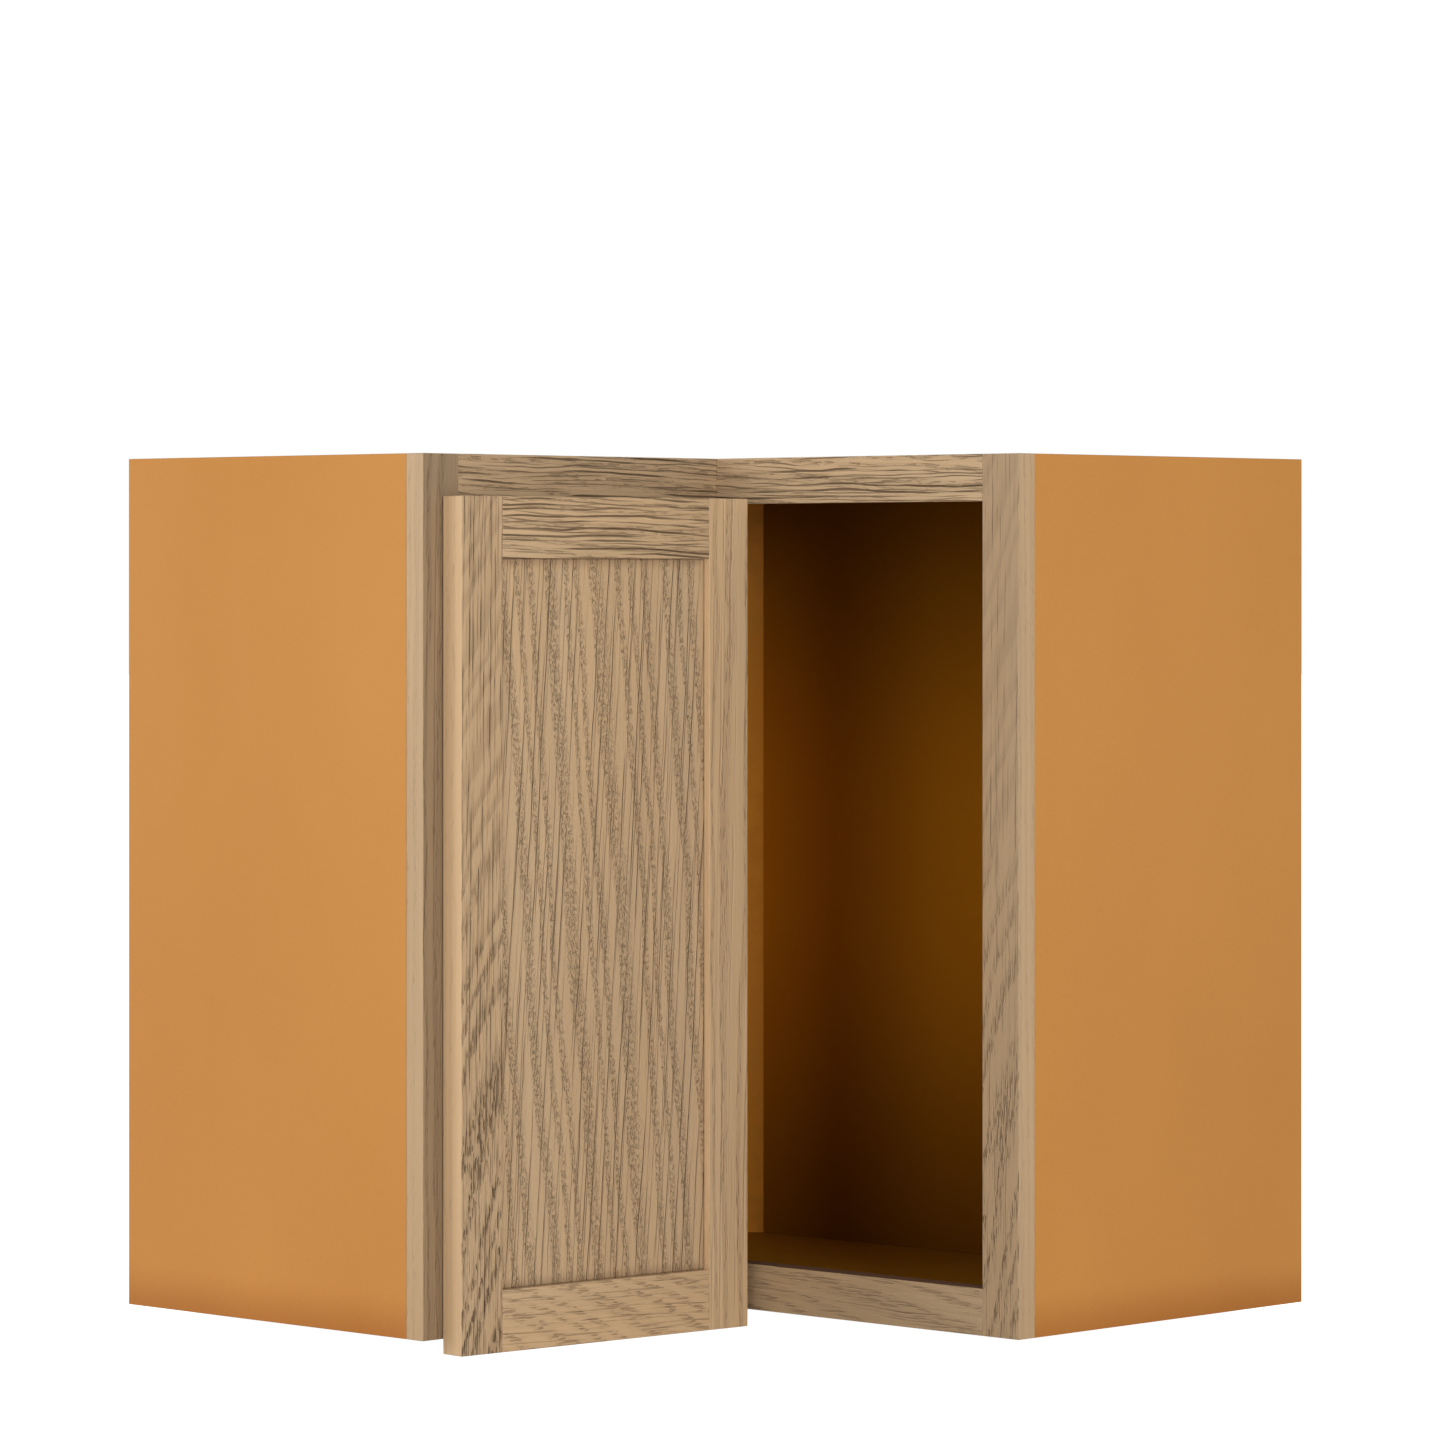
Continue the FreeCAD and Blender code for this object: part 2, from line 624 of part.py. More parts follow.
def make_hinges():
    """Both concealed hinges and all their screws."""
    middle = "-(plate_back + plate_front) / 2"
    pieces = []
    cup_screws = []
    plate_screws = []
    arm_screws = []
    for end, level in HINGE_LEVELS.items():
        pieces.append(place_on_door(make_hinge_cup(f"{end}_hinge_cup", level)))
        pieces.append(place_at_hinge_edge(make_hinge_arm(f"{end}_hinge_arm", level)))
        pieces.append(place_at_hinge_edge(make_mounting_plate(f"{end}_mounting_plate", level)))
        pin = rod(f"{end}_pin_rod", ("pin_out", "pin_in", f"{level} - pin_half"), UPRIGHT,
                  "pin_radius", "2 * pin_half")
        pieces.append(place_on_door(group(f"{end}_hinge_pin", [pin])))
        for side in ("-", "+"):
            tag = f"{end}_{'low' if side == '-' else 'high'}"
            cup_level = f"{level} {side} cup_screw_reach"
            head_start = "door_gap - flange_thick - cup_head_thick"
            cup_screws.append(screw(f"cup_screw_{tag}", (head_start, "cup_centre", cup_level),
                                    ALONG_X, ("1", "0", "0"), "screw_radius", "screw_length",
                                    "screw_head", "cup_head_thick"))
            plate_level = f"{level} {side} plate_screw_reach"
            plate_start = (middle, f"{PLATE_FACE} + screw_head_thick", plate_level)
            plate_screws.append(screw(f"plate_screw_{tag}", plate_start, AGAINST_Y,
                                      ("0", "-1", "0"), "screw_radius", "screw_length",
                                      "screw_head", "screw_head_thick"))
        arm_start = (middle, f"{PLATE_FACE} + arm_thick + screw_head_thick", level)
        arm_screws.append(screw(f"arm_screw_{end}", arm_start, AGAINST_Y, ("0", "-1", "0"),
                                "arm_screw_radius", "plate_thick + arm_thick", "screw_head",
                                "screw_head_thick"))
    pieces.append(place_on_door(group("cup_screws", cup_screws)))
    pieces.append(place_at_hinge_edge(group("plate_screws", plate_screws)))
    pieces.append(place_at_hinge_edge(group("arm_screws", arm_screws)))
    return pieces


# ---------------------------------------------------------------------------- build and write
left_frame = make_left_frame()
bore_stile_for_plates(left_frame[0])
nodes = make_end_panels() + make_boards() + make_backs() + left_frame + make_right_frame()
nodes += make_frame_fasteners() + make_door() + make_bumpers() + make_hinges()
doc.recompute()

for thing in doc.Objects:
    if "Invalid" in thing.State or "Error" in thing.State:
        raise RuntimeError(f"{thing.Label} did not compute: {thing.State}")
for node in nodes:
    if node.Shape.isNull() or not node.Shape.isValid():
        raise RuntimeError(f"{node.Label} has no valid shape")

os.makedirs("parts", exist_ok=True)
for node in nodes:
    node.Shape.exportStep(f"parts/{node.Label}.step")
    box = node.Shape.BoundBox
    print(f"{node.Label:28s} solids {len(node.Shape.Solids)} volume {node.Shape.Volume / 1000:9.2f} cm3"
          f"  x {box.XMin:.1f}..{box.XMax:.1f}  y {box.YMin:.1f}..{box.YMax:.1f}"
          f"  z {box.ZMin:.1f}..{box.ZMax:.1f}")
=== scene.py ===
"""Looks of the corner wall cabinet: oak face frames and door, laminated case and steel hinges.

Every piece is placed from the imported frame.  The cabinet's rear corner is the origin, the right
wing runs along +X, the left wing along -Y, and the door hangs on the left wing's face frame.
"""

import json
import logging
import math
from dataclasses import dataclass, field
from enum import Enum
from typing import Callable

import bmesh
import bpy
from mathutils import Matrix, Vector


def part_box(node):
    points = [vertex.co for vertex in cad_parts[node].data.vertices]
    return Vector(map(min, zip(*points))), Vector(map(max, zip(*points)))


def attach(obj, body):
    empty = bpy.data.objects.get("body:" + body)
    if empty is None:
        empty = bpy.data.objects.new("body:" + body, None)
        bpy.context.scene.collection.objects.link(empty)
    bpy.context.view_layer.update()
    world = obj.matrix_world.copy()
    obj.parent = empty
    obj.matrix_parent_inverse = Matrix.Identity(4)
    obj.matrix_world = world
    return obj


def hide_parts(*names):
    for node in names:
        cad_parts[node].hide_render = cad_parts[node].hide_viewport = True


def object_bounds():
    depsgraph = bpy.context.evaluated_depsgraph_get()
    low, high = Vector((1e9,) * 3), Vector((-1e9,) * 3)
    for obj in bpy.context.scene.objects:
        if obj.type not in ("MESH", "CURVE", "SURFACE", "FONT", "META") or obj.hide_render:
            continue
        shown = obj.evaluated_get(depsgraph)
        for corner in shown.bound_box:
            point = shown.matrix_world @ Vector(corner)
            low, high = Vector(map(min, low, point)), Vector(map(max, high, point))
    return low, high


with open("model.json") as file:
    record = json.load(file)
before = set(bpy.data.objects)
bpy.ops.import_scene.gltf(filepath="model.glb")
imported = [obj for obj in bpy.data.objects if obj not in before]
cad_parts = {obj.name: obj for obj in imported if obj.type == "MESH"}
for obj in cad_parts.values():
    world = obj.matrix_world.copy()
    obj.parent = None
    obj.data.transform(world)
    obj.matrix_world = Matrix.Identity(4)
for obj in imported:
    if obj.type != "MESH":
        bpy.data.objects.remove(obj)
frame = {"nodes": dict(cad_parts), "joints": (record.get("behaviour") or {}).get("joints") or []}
CAD_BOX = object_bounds()

logging.basicConfig(level=logging.INFO, format="%(levelname)s %(message)s")
log = logging.getLogger("cabinet")

MM = 0.001
EDGE_MASK = "edge"
SAME_WAY = 0.99
MAINLY = 0.9
PARTLY = 0.5
ON_AXIS = 0.995
EVEN = (1.0, 1.0, 1.0)
BLACK = (0.0, 0.0, 0.0)
WHITE = (1.0, 1.0, 1.0, 1.0)
Colour = tuple[float, float, float]
Value = bpy.types.NodeSocket | float


def srgb(red: int, green: int, blue: int) -> Colour:
    """Turn a colour in 0..255 steps into the linear values that shaders use."""
    shares = (part / 255 for part in (red, green, blue))
    return tuple(s / 12.92 if s <= 0.04045 else ((s + 0.055) / 1.055) ** 2.4 for s in shares)


# ------------------------------------------------------------------------------- node trees
class NodeSheet:
    """One node tree with short calls for the nodes that the finishes use."""

    COLUMN_WIDTH = 180
    MIX_SHARE = 0
    MIX_COLOURS = (6, 7)
    MIX_COLOUR = 2

    def __init__(self, tree: bpy.types.NodeTree) -> None:
        """Hold the tree that nodes are added to."""
        self.tree = tree
        self.column = 0

    def add(self, kind: str, **settings: object) -> bpy.types.Node:
        """Add a node of one kind.

        Args:
            kind: the node's type name.
            settings: properties of the node to set.

        Returns:
            The new node.
        """
        node = self.tree.nodes.new(kind)
        node.location = (self.column * self.COLUMN_WIDTH, 0)
        self.column += 1
        for name, value in settings.items():
            setattr(node, name, value)
        return node

    def feed(self, socket: bpy.types.NodeSocket, value: Value | Colour) -> None:
        """Give an input socket a constant or the output of another node.

        Args:
            socket: the input.
            value: the constant or the output.
        """
        if isinstance(value, bpy.types.NodeSocket):
            self.tree.links.new(value, socket)
        elif isinstance(value, tuple) and len(value) == 3 and socket.type == "RGBA":
            socket.default_value = (*value, 1.0)
        else:
            socket.default_value = value

    def math(self, operation: str, *values: Value, clamp: bool = False) -> bpy.types.NodeSocket:
        """Add a math node and return its result.

        Args:
            operation: the node's operation.
            values: what it works on, in order.
            clamp: whether the result is kept between 0 and 1.

        Returns:
            The result.
        """
        node = self.add("ShaderNodeMath", operation=operation, use_clamp=clamp)
        for socket, value in zip(node.inputs, values):
            self.feed(socket, value)
        return node.outputs[0]

    def vector_math(self, operation: str, *values: Value | Colour) -> bpy.types.NodeSocket:
        """Add a vector math node and return its vector.

        Args:
            operation: the node's operation.
            values: what it works on, in order.

        Returns:
            The resulting vector.
        """
        node = self.add("ShaderNodeVectorMath", operation=operation)
        for socket, value in zip(node.inputs, values):
            self.feed(socket, value)
        return node.outputs[0]

    def parts(self, vector: Value) -> tuple[bpy.types.NodeSocket, ...]:
        """Split a vector into its three values.

        Args:
            vector: the vector to split.

        Returns:
            Its X, Y and Z.
        """
        node = self.add("ShaderNodeSeparateXYZ")
        self.feed(node.inputs[0], vector)
        return tuple(node.outputs)

    def place_on_object(self) -> bpy.types.NodeSocket:
        """Where a point of the piece is, in the cabinet's own frame."""
        return self.add("ShaderNodeTexCoord").outputs["Object"]

    def step(self, value: Value, low: float, high: float, top: float = 1.0) -> bpy.types.NodeSocket:
        """A smooth rise from 0 at low to top at high, or a fall when high is below low.

        Args:
            value: what is measured.
            low: where the rise starts.
            high: where it ends.
            top: how high it gets.

        Returns:
            The height reached.
        """
        rising = high > low
        ends = (low, high) if rising else (high, low)
        node = self.add("ShaderNodeMapRange", interpolation_type="SMOOTHSTEP")
        outcome = (0.0, top) if rising else (top, 0.0)
        for socket, given in zip(node.inputs, (value, *ends, *outcome)):
            self.feed(socket, given)
        return node.outputs[0]

    def noise(self, vector: Value, scale: Colour, detail: float = 2.0,
              rough: float = 0.5) -> bpy.types.NodeSocket:
        """Noise stretched by a different scale along each axis, from 0 to 1.

        Args:
            vector: where the noise is read.
            scale: waves to the metre along each axis.
            detail: how many finer layers are added.
            rough: how strong the finer layers are.

        Returns:
            The noise.
        """
        stretched = self.vector_math("MULTIPLY", vector, scale)
        node = self.add("ShaderNodeTexNoise")
        self.feed(node.inputs["Vector"], stretched)
        self.feed(node.inputs["Scale"], 1.0)
        self.feed(node.inputs["Detail"], detail)
        self.feed(node.inputs["Roughness"], rough)
        return node.outputs["Fac"]

    def blend(self, share: Value, first: Value | Colour, second: Value | Colour
              ) -> bpy.types.NodeSocket:
        """Mix two colours and return the result, past them where the share is past 0 or 1.

        Args:
            share: how far the mix goes from the first colour to the second.
            first: the colour at 0.
            second: the colour at 1.

        Returns:
            The mixed colour.
        """
        node = self.add("ShaderNodeMix", data_type="RGBA", clamp_factor=False)
        self.feed(node.inputs[self.MIX_SHARE], share)
        for index, colour in zip(self.MIX_COLOURS, (first, second)):
            self.feed(node.inputs[index], colour)
        return node.outputs[self.MIX_COLOUR]

    def place(self, group: bpy.types.NodeTree, **values: Value | Colour) -> bpy.types.Node:
        """Place a node group and feed its inputs by name.

        Args:
            group: the group.
            values: the inputs' values, named in lower case with underscores.

        Returns:
            The node that holds the group.
        """
        node = self.add("ShaderNodeGroup", node_tree=group)
        for name, value in values.items():
            self.feed(node.inputs[name.replace("_", " ").title()], value)
        return node


def new_group(name: str, inputs: dict[str, str], outputs: dict[str, str]
              ) -> tuple[NodeSheet, bpy.types.Node, bpy.types.Node]:
    """Start a shader node group.

    Args:
        name: the group's name.
        inputs: input names and their socket kinds.
        outputs: output names and their socket kinds.

    Returns:
        The group's sheet, its input node and its output node.
    """
    tree = bpy.data.node_groups.new(name, "ShaderNodeTree")
    for direction, sockets in (("INPUT", inputs), ("OUTPUT", outputs)):
        for label, kind in sockets.items():
            tree.interface.new_socket(label, in_out=direction, socket_type=f"NodeSocket{kind}")
    sheet = NodeSheet(tree)
    return sheet, sheet.add("NodeGroupInput"), sheet.add("NodeGroupOutput")


@dataclass(frozen=True)
class Weights:
    """What each mark adds to a board's tone, from 0 at its darkest, and to its height."""

    plain: float = 0.86
    brightest: float = 1.2
    fibre: float = 0.30
    drift: float = 0.26
    lines: float = -0.72
    pores: float = -0.42
    # the next two weights add painted highlights: pale marks on the lit side of the lines and pores
    lips: float = 0.32
    pore_highlights: float = 0.36
    minor: float = 0.6
    pores_in_band: float = 0.90
    pores_outside: float = 0.10
    fibre_height: float = 0.22
    raised_height: float = 0.3
    band_height: float = -0.10


@dataclass(frozen=True)
class Falloff:
    """Shade that is strongest at a border and gone at its reach, by the ends and the sides."""

    end_reach: float
    end_top: float
    side_reach: float
    side_top: float


class Effects:
    """The node groups that several finishes share.  Noise scales are in waves to the metre."""

    SWAY_SCALE = (4.0, 13.0, 13.0)
    HEAVE_SCALE = (5.0, 11.0, 11.0)
    HEAVE_PLACE = (4.1, 1.7, 3.3)
    YEAR_RATE = 1.9
    YEAR_SWING = 0.25

    EDGE_SKEW = 0.6
    BEND_SCALE = (4.5, 16.0, 16.0)
    RIPPLE_SCALE = (34.0, 130.0, 130.0)
    RIPPLE = 1.6 * MM
    LANE_SPAN = 0.44
    LANE_START = 0.28
    LANE_STRIDE = 3.71
    PRESENT = (0.92, 1.12)
    THINNEST = 0.0001
    LINE_SHARPNESS = 0.7
    LINE_HIGHLIGHT_PLACE = 1.7

    BAND_RISE = (0.0, 0.14)
    BAND_FALL = (0.66, 0.30)
    PORE_EDGE = (0.52, 0.65)
    PORE_SHADOW = (0.6 * MM, 0.7 * MM, 0.0)
    FIBRE_SCALE = (10.0, 620.0, 620.0)
    DRIFT_SCALE = (3.5, 40.0, 40.0)
    WARMTH_SCALE = (2.0, 22.0, 22.0)
    WARMTH_PLACE = (1.3, 5.7, 2.2)
    WEIGHTS = Weights()

    WEAR_SCALE = (70.0, 70.0, 70.0)
    WEAR_EDGE = (0.35, 0.65)
    WIDE_SHADE = Falloff(9 * MM, 0.32, 7 * MM, 0.26)
    TIGHT_SHADE = Falloff(1.6 * MM, 0.45, 1.2 * MM, 0.35)
    CLOUD_SCALE = (5.0, 5.0, 3.0)
    SMEAR_SCALE = (9.0, 9.0, 2.6)
    SMEAR_EDGE = (0.40, 0.72)

    def __init__(self) -> None:
        """Build every shared group once."""
        self.growth = self._growth()
        self.vessels = self._vessels()
        self.figure = self._figure()
        self.edge_wear = self._edge_wear()
        self.speckle = self._speckle()
        self.recess = self._recess()

    def _growth(self) -> bpy.types.NodeTree:
        """Growth rings round a wavering, slightly tilted pith.

        Returns:
            A group whose Ring rises from 0 to 1 across each year's growth.
        """
        sheet, given, result = new_group(
            "growth_rings",
            {"Vector": "Vector", "Gap": "Float", "Pith Across": "Float", "Pith Depth": "Float",
             "Taper": "Float", "Lean": "Float", "Waver": "Float"},
            {"Ring": "Float"})
        point = given.outputs["Vector"]
        along, across, depth = sheet.parts(point)
        sway = self._centred(sheet, sheet.noise(point, self.SWAY_SCALE, 3.0))
        far = sheet.vector_math("ADD", point, self.HEAVE_PLACE)
        heave = self._centred(sheet, sheet.noise(far, self.HEAVE_SCALE, 3.0))
        waver = given.outputs["Waver"]
        across = sheet.math("SUBTRACT", across, given.outputs["Pith Across"])
        across = sheet.math("MULTIPLY_ADD", along, given.outputs["Lean"], across)
        across = sheet.math("MULTIPLY_ADD", sway, waver, across)
        depth = sheet.math("SUBTRACT", depth, given.outputs["Pith Depth"])
        depth = sheet.math("MULTIPLY_ADD", along, given.outputs["Taper"], depth)
        depth = sheet.math("MULTIPLY_ADD", heave, waver, depth)
        squares = sheet.math("MULTIPLY_ADD", across, across, sheet.math("MULTIPLY", depth, depth))
        radius = sheet.math("DIVIDE", sheet.math("SQRT", squares), given.outputs["Gap"])
        uneven = sheet.math("SINE", sheet.math("MULTIPLY", radius, self.YEAR_RATE))
        radius = sheet.math("MULTIPLY_ADD", uneven, self.YEAR_SWING, radius)
        sheet.feed(result.inputs["Ring"], sheet.math("FRACT", radius))
        return sheet.tree

    def _vessels(self) -> bpy.types.NodeTree:
        """Long open vessel lines along the grain that start, taper and run out.

        Returns:
            A group whose Line is 1 in the middle of a line and 0 between lines, and whose second
            output is 1 just beside the line, where the finish paints a highlight on its lit side.
        """
        sheet, given, result = new_group(
            "vessel_lines",
            {"Vector": "Vector", "Gap": "Float", "Width": "Float", "Lean": "Float",
             "Waver": "Float", "Reach": "Float", "Share": "Float"},
            {"Line": "Float", "Line Highlight": "Float"})
        point = given.outputs["Vector"]
        along, across, depth = sheet.parts(point)
        bend = self._centred(sheet, sheet.noise(point, self.BEND_SCALE, 3.0))
        ripple = self._centred(sheet, sheet.noise(point, self.RIPPLE_SCALE, 2.0))
        across = sheet.math("MULTIPLY_ADD", depth, self.EDGE_SKEW, across)
        across = sheet.math("MULTIPLY_ADD", along, given.outputs["Lean"], across)
        across = sheet.math("MULTIPLY_ADD", bend, given.outputs["Waver"], across)
        across = sheet.math("MULTIPLY_ADD", ripple, self.RIPPLE, across)
        lane = sheet.math("DIVIDE", across, given.outputs["Gap"])
        index = sheet.math("FLOOR", lane)
        chance = sheet.add("ShaderNodeTexWhiteNoise", noise_dimensions="1D")
        sheet.feed(chance.inputs["W"], index)
        centre = sheet.math("MULTIPLY_ADD", chance.outputs["Value"], self.LANE_SPAN,
                            self.LANE_START)
        joined = sheet.add("ShaderNodeCombineXYZ")
        sheet.feed(joined.inputs[0], sheet.math("MULTIPLY", along, given.outputs["Reach"]))
        sheet.feed(joined.inputs[1], sheet.math("MULTIPLY", index, self.LANE_STRIDE))
        presence = sheet.noise(joined.outputs[0], EVEN, 2.0, 0.6)
        presence = sheet.math("ADD", presence, given.outputs["Share"])
        presence = sheet.step(presence, *self.PRESENT)
        half = sheet.math("DIVIDE", given.outputs["Width"], given.outputs["Gap"])
        half = sheet.math("MULTIPLY_ADD", presence, half, self.THINNEST)
        off = sheet.math("DIVIDE", sheet.math("SUBTRACT", sheet.math("FRACT", lane), centre), half)
        line = sheet.math("SUBTRACT", 1.0, sheet.math("ABSOLUTE", off), clamp=True)
        line = sheet.math("POWER", line, self.LINE_SHARPNESS)
        # painted highlight: a pale lip on one side of each line, where light would catch the
        # groove's wall
        beside = sheet.math("ABSOLUTE", sheet.math("ADD", off, self.LINE_HIGHLIGHT_PLACE))
        line_highlight = sheet.math("SUBTRACT", 1.0, beside, clamp=True)
        sheet.feed(result.inputs["Line"], sheet.math("MULTIPLY", line, presence))
        sheet.feed(result.inputs["Line Highlight"], sheet.math("MULTIPLY", line_highlight, presence))
        return sheet.tree

    @staticmethod
    def _centred(sheet: NodeSheet, value: bpy.types.NodeSocket) -> bpy.types.NodeSocket:
        """Move a noise value so that its middle is at 0."""
        return sheet.math("SUBTRACT", value, 0.5)

    def _figure(self) -> bpy.types.NodeTree:
        """Oak figure from vessel lines, pores, fibre streaks, slow drift and painted highlights.

        Returns:
            A group giving Tone (0 darkest, 1 lightest), Warmth, Groove (how open the surface
            is) and Height for a bump.
        """
        sheet, given, result = new_group(
            "oak_figure",
            {"Vector": "Vector", "Ring": "Float", "Major": "Float", "Minor": "Float",
             "Lips": "Float", "Lines": "Float", "Pore Run": "Float", "Pore Pack": "Float",
             "Pores": "Float", "Bands": "Float"},
            {"Tone": "Float", "Warmth": "Float", "Groove": "Float", "Height": "Float"})
        point = given.outputs["Vector"]
        ring = given.outputs["Ring"]
        weights = self.WEIGHTS
        early = sheet.math("MULTIPLY", sheet.step(ring, *self.BAND_RISE),
                           sheet.step(ring, *self.BAND_FALL))
        minor = sheet.math("MULTIPLY", given.outputs["Minor"], weights.minor)
        lines = sheet.math("MULTIPLY", sheet.math("MAXIMUM", given.outputs["Major"], minor),
                           given.outputs["Lines"])
        packed = sheet.add("ShaderNodeCombineXYZ")
        for socket, name in zip(packed.inputs, ("Pore Run", "Pore Pack", "Pore Pack")):
            sheet.feed(socket, given.outputs[name])
        banded = sheet.math("MULTIPLY_ADD", early, weights.pores_in_band, weights.pores_outside)
        strength = sheet.math("MULTIPLY", given.outputs["Pores"], banded)
        # painted highlight: the pores read again a little aside give a pale rim on one side of each
        # pore
        beside = sheet.vector_math("ADD", point, self.PORE_SHADOW)
        pores, pore_highlights = (sheet.step(sheet.noise(place, packed.outputs[0], 1.5, 0.6), *self.PORE_EDGE)
                         for place in (point, beside))
        pore_highlights = sheet.math("SUBTRACT", pore_highlights, pores, clamp=True)
        pores = sheet.math("MULTIPLY", pores, strength)
        pore_highlights = sheet.math("MULTIPLY", pore_highlights, strength)
        lips = sheet.math("MULTIPLY", given.outputs["Lips"], given.outputs["Lines"])
        fibre = self._centred(sheet, sheet.noise(point, self.FIBRE_SCALE, 4.0, 0.65))
        drift = self._centred(sheet, sheet.noise(point, self.DRIFT_SCALE, 3.0))
        darker = sheet.math("MULTIPLY", given.outputs["Bands"], -1.0)
        tone = sheet.math("MULTIPLY_ADD", early, darker, weights.plain)
        for mark, weight in ((fibre, weights.fibre), (drift, weights.drift),
                             (lines, weights.lines), (pores, weights.pores),
                             (lips, weights.lips), (pore_highlights, weights.pore_highlights)):
            tone = sheet.math("MULTIPLY_ADD", mark, weight, tone)
        tone = sheet.math("MINIMUM", sheet.math("MAXIMUM", tone, 0.0), weights.brightest)
        groove = sheet.math("MAXIMUM", lines, pores)
        height = sheet.math("MULTIPLY", fibre, weights.fibre_height)
        for mark, weight in ((groove, -1.0),
                             (sheet.math("MAXIMUM", lips, pore_highlights), weights.raised_height),
                             (early, weights.band_height)):
            height = sheet.math("MULTIPLY_ADD", mark, weight, height)
        warmth = sheet.noise(sheet.vector_math("ADD", point, self.WARMTH_PLACE), self.WARMTH_SCALE)
        for name, value in (("Tone", tone), ("Warmth", warmth), ("Groove", groove),
                            ("Height", height)):
            sheet.feed(result.inputs[name], value)
        return sheet.tree

    def _edge_wear(self) -> bpy.types.NodeTree:
        """Patchy rubbing along the eased edges that a piece's edge attribute marks.

        Returns:
            A group giving Wear, from 0 to 1.
        """
        sheet, given, result = new_group(
            "edge_wear", {"Vector": "Vector", "Edge": "Float", "Amount": "Float"},
            {"Wear": "Float"})
        patch = sheet.noise(given.outputs["Vector"], self.WEAR_SCALE, 3.0)
        patch = sheet.step(patch, *self.WEAR_EDGE)
        wear = sheet.math("MULTIPLY", sheet.math("MULTIPLY", patch, given.outputs["Edge"]),
                          given.outputs["Amount"])
        sheet.feed(result.inputs["Wear"], wear)
        return sheet.tree

    def _recess(self) -> bpy.types.NodeTree:
        """Shade that falls off within a few millimetres of a rectangle's border.

        Returns:
            A group giving Shade, from 0 in the middle to its most at the border.
        """
        sheet, given, result = new_group(
            "recess_shade", {"Vector": "Vector", "Half Length": "Float", "Half Width": "Float"},
            {"Shade": "Float"})
        along, across, _depth = sheet.parts(given.outputs["Vector"])
        to_end = sheet.math("SUBTRACT", given.outputs["Half Length"], sheet.math("ABSOLUTE", along))
        to_side = sheet.math("SUBTRACT", given.outputs["Half Width"], sheet.math("ABSOLUTE", across))
        wide, tight = (
            sheet.math("MAXIMUM", sheet.step(to_end, shade.end_reach, 0.0, shade.end_top),
                       sheet.step(to_side, shade.side_reach, 0.0, shade.side_top))
            for shade in (self.WIDE_SHADE, self.TIGHT_SHADE))
        sheet.feed(result.inputs["Shade"], sheet.math("ADD", wide, tight, clamp=True))
        return sheet.tree

    def _speckle(self) -> bpy.types.NodeTree:
        """Fine print mottle and faint smears of a satin sheet material.

        Returns:
            A group giving Mottle (-1 to 1), Smear (0 to 1) and Height.
        """
        sheet, given, result = new_group(
            "sheet_speckle", {"Vector": "Vector", "Grain Size": "Float"},
            {"Mottle": "Float", "Smear": "Float", "Height": "Float"})
        scaled = sheet.add("ShaderNodeVectorMath", operation="SCALE")
        sheet.feed(scaled.inputs[0], given.outputs["Vector"])
        sheet.feed(scaled.inputs["Scale"], given.outputs["Grain Size"])
        grit = self._centred(sheet, sheet.noise(scaled.outputs[0], EVEN, 3.0, 0.7))
        cloud = self._centred(sheet, sheet.noise(given.outputs["Vector"], self.CLOUD_SCALE, 3.0))
        smear = sheet.noise(given.outputs["Vector"], self.SMEAR_SCALE, 4.0)
        smear = sheet.step(smear, *self.SMEAR_EDGE)
        sheet.feed(result.inputs["Mottle"], sheet.math("ADD", grit, cloud))
        sheet.feed(result.inputs["Smear"], smear)
        sheet.feed(result.inputs["Height"], grit)
        return sheet.tree


# --------------------------------------------------------------------------------- finishes
class Axis(Enum):
    """The directions that a board's grain or face can take."""

    X = (1.0, 0.0, 0.0)
    Y = (0.0, 1.0, 0.0)
    Z = (0.0, 0.0, 1.0)

    @property
    def vector(self) -> Vector:
        """The direction as a vector."""
        return Vector(self.value)


@dataclass(frozen=True)
class Lie:
    """How a board lies: where its pattern starts, along what its grain runs, what it faces."""

    middle: Vector
    grain: Vector
    face: Vector

    def mapping(self) -> tuple[Vector, Vector]:
        """Place and turn of a Mapping node that gives along, across and depth.

        Returns:
            The node's location and its rotation.
        """
        turn = Matrix((self.grain, self.face.cross(self.grain), self.face))
        return -(turn @ self.middle), Vector(turn.to_euler("XYZ"))


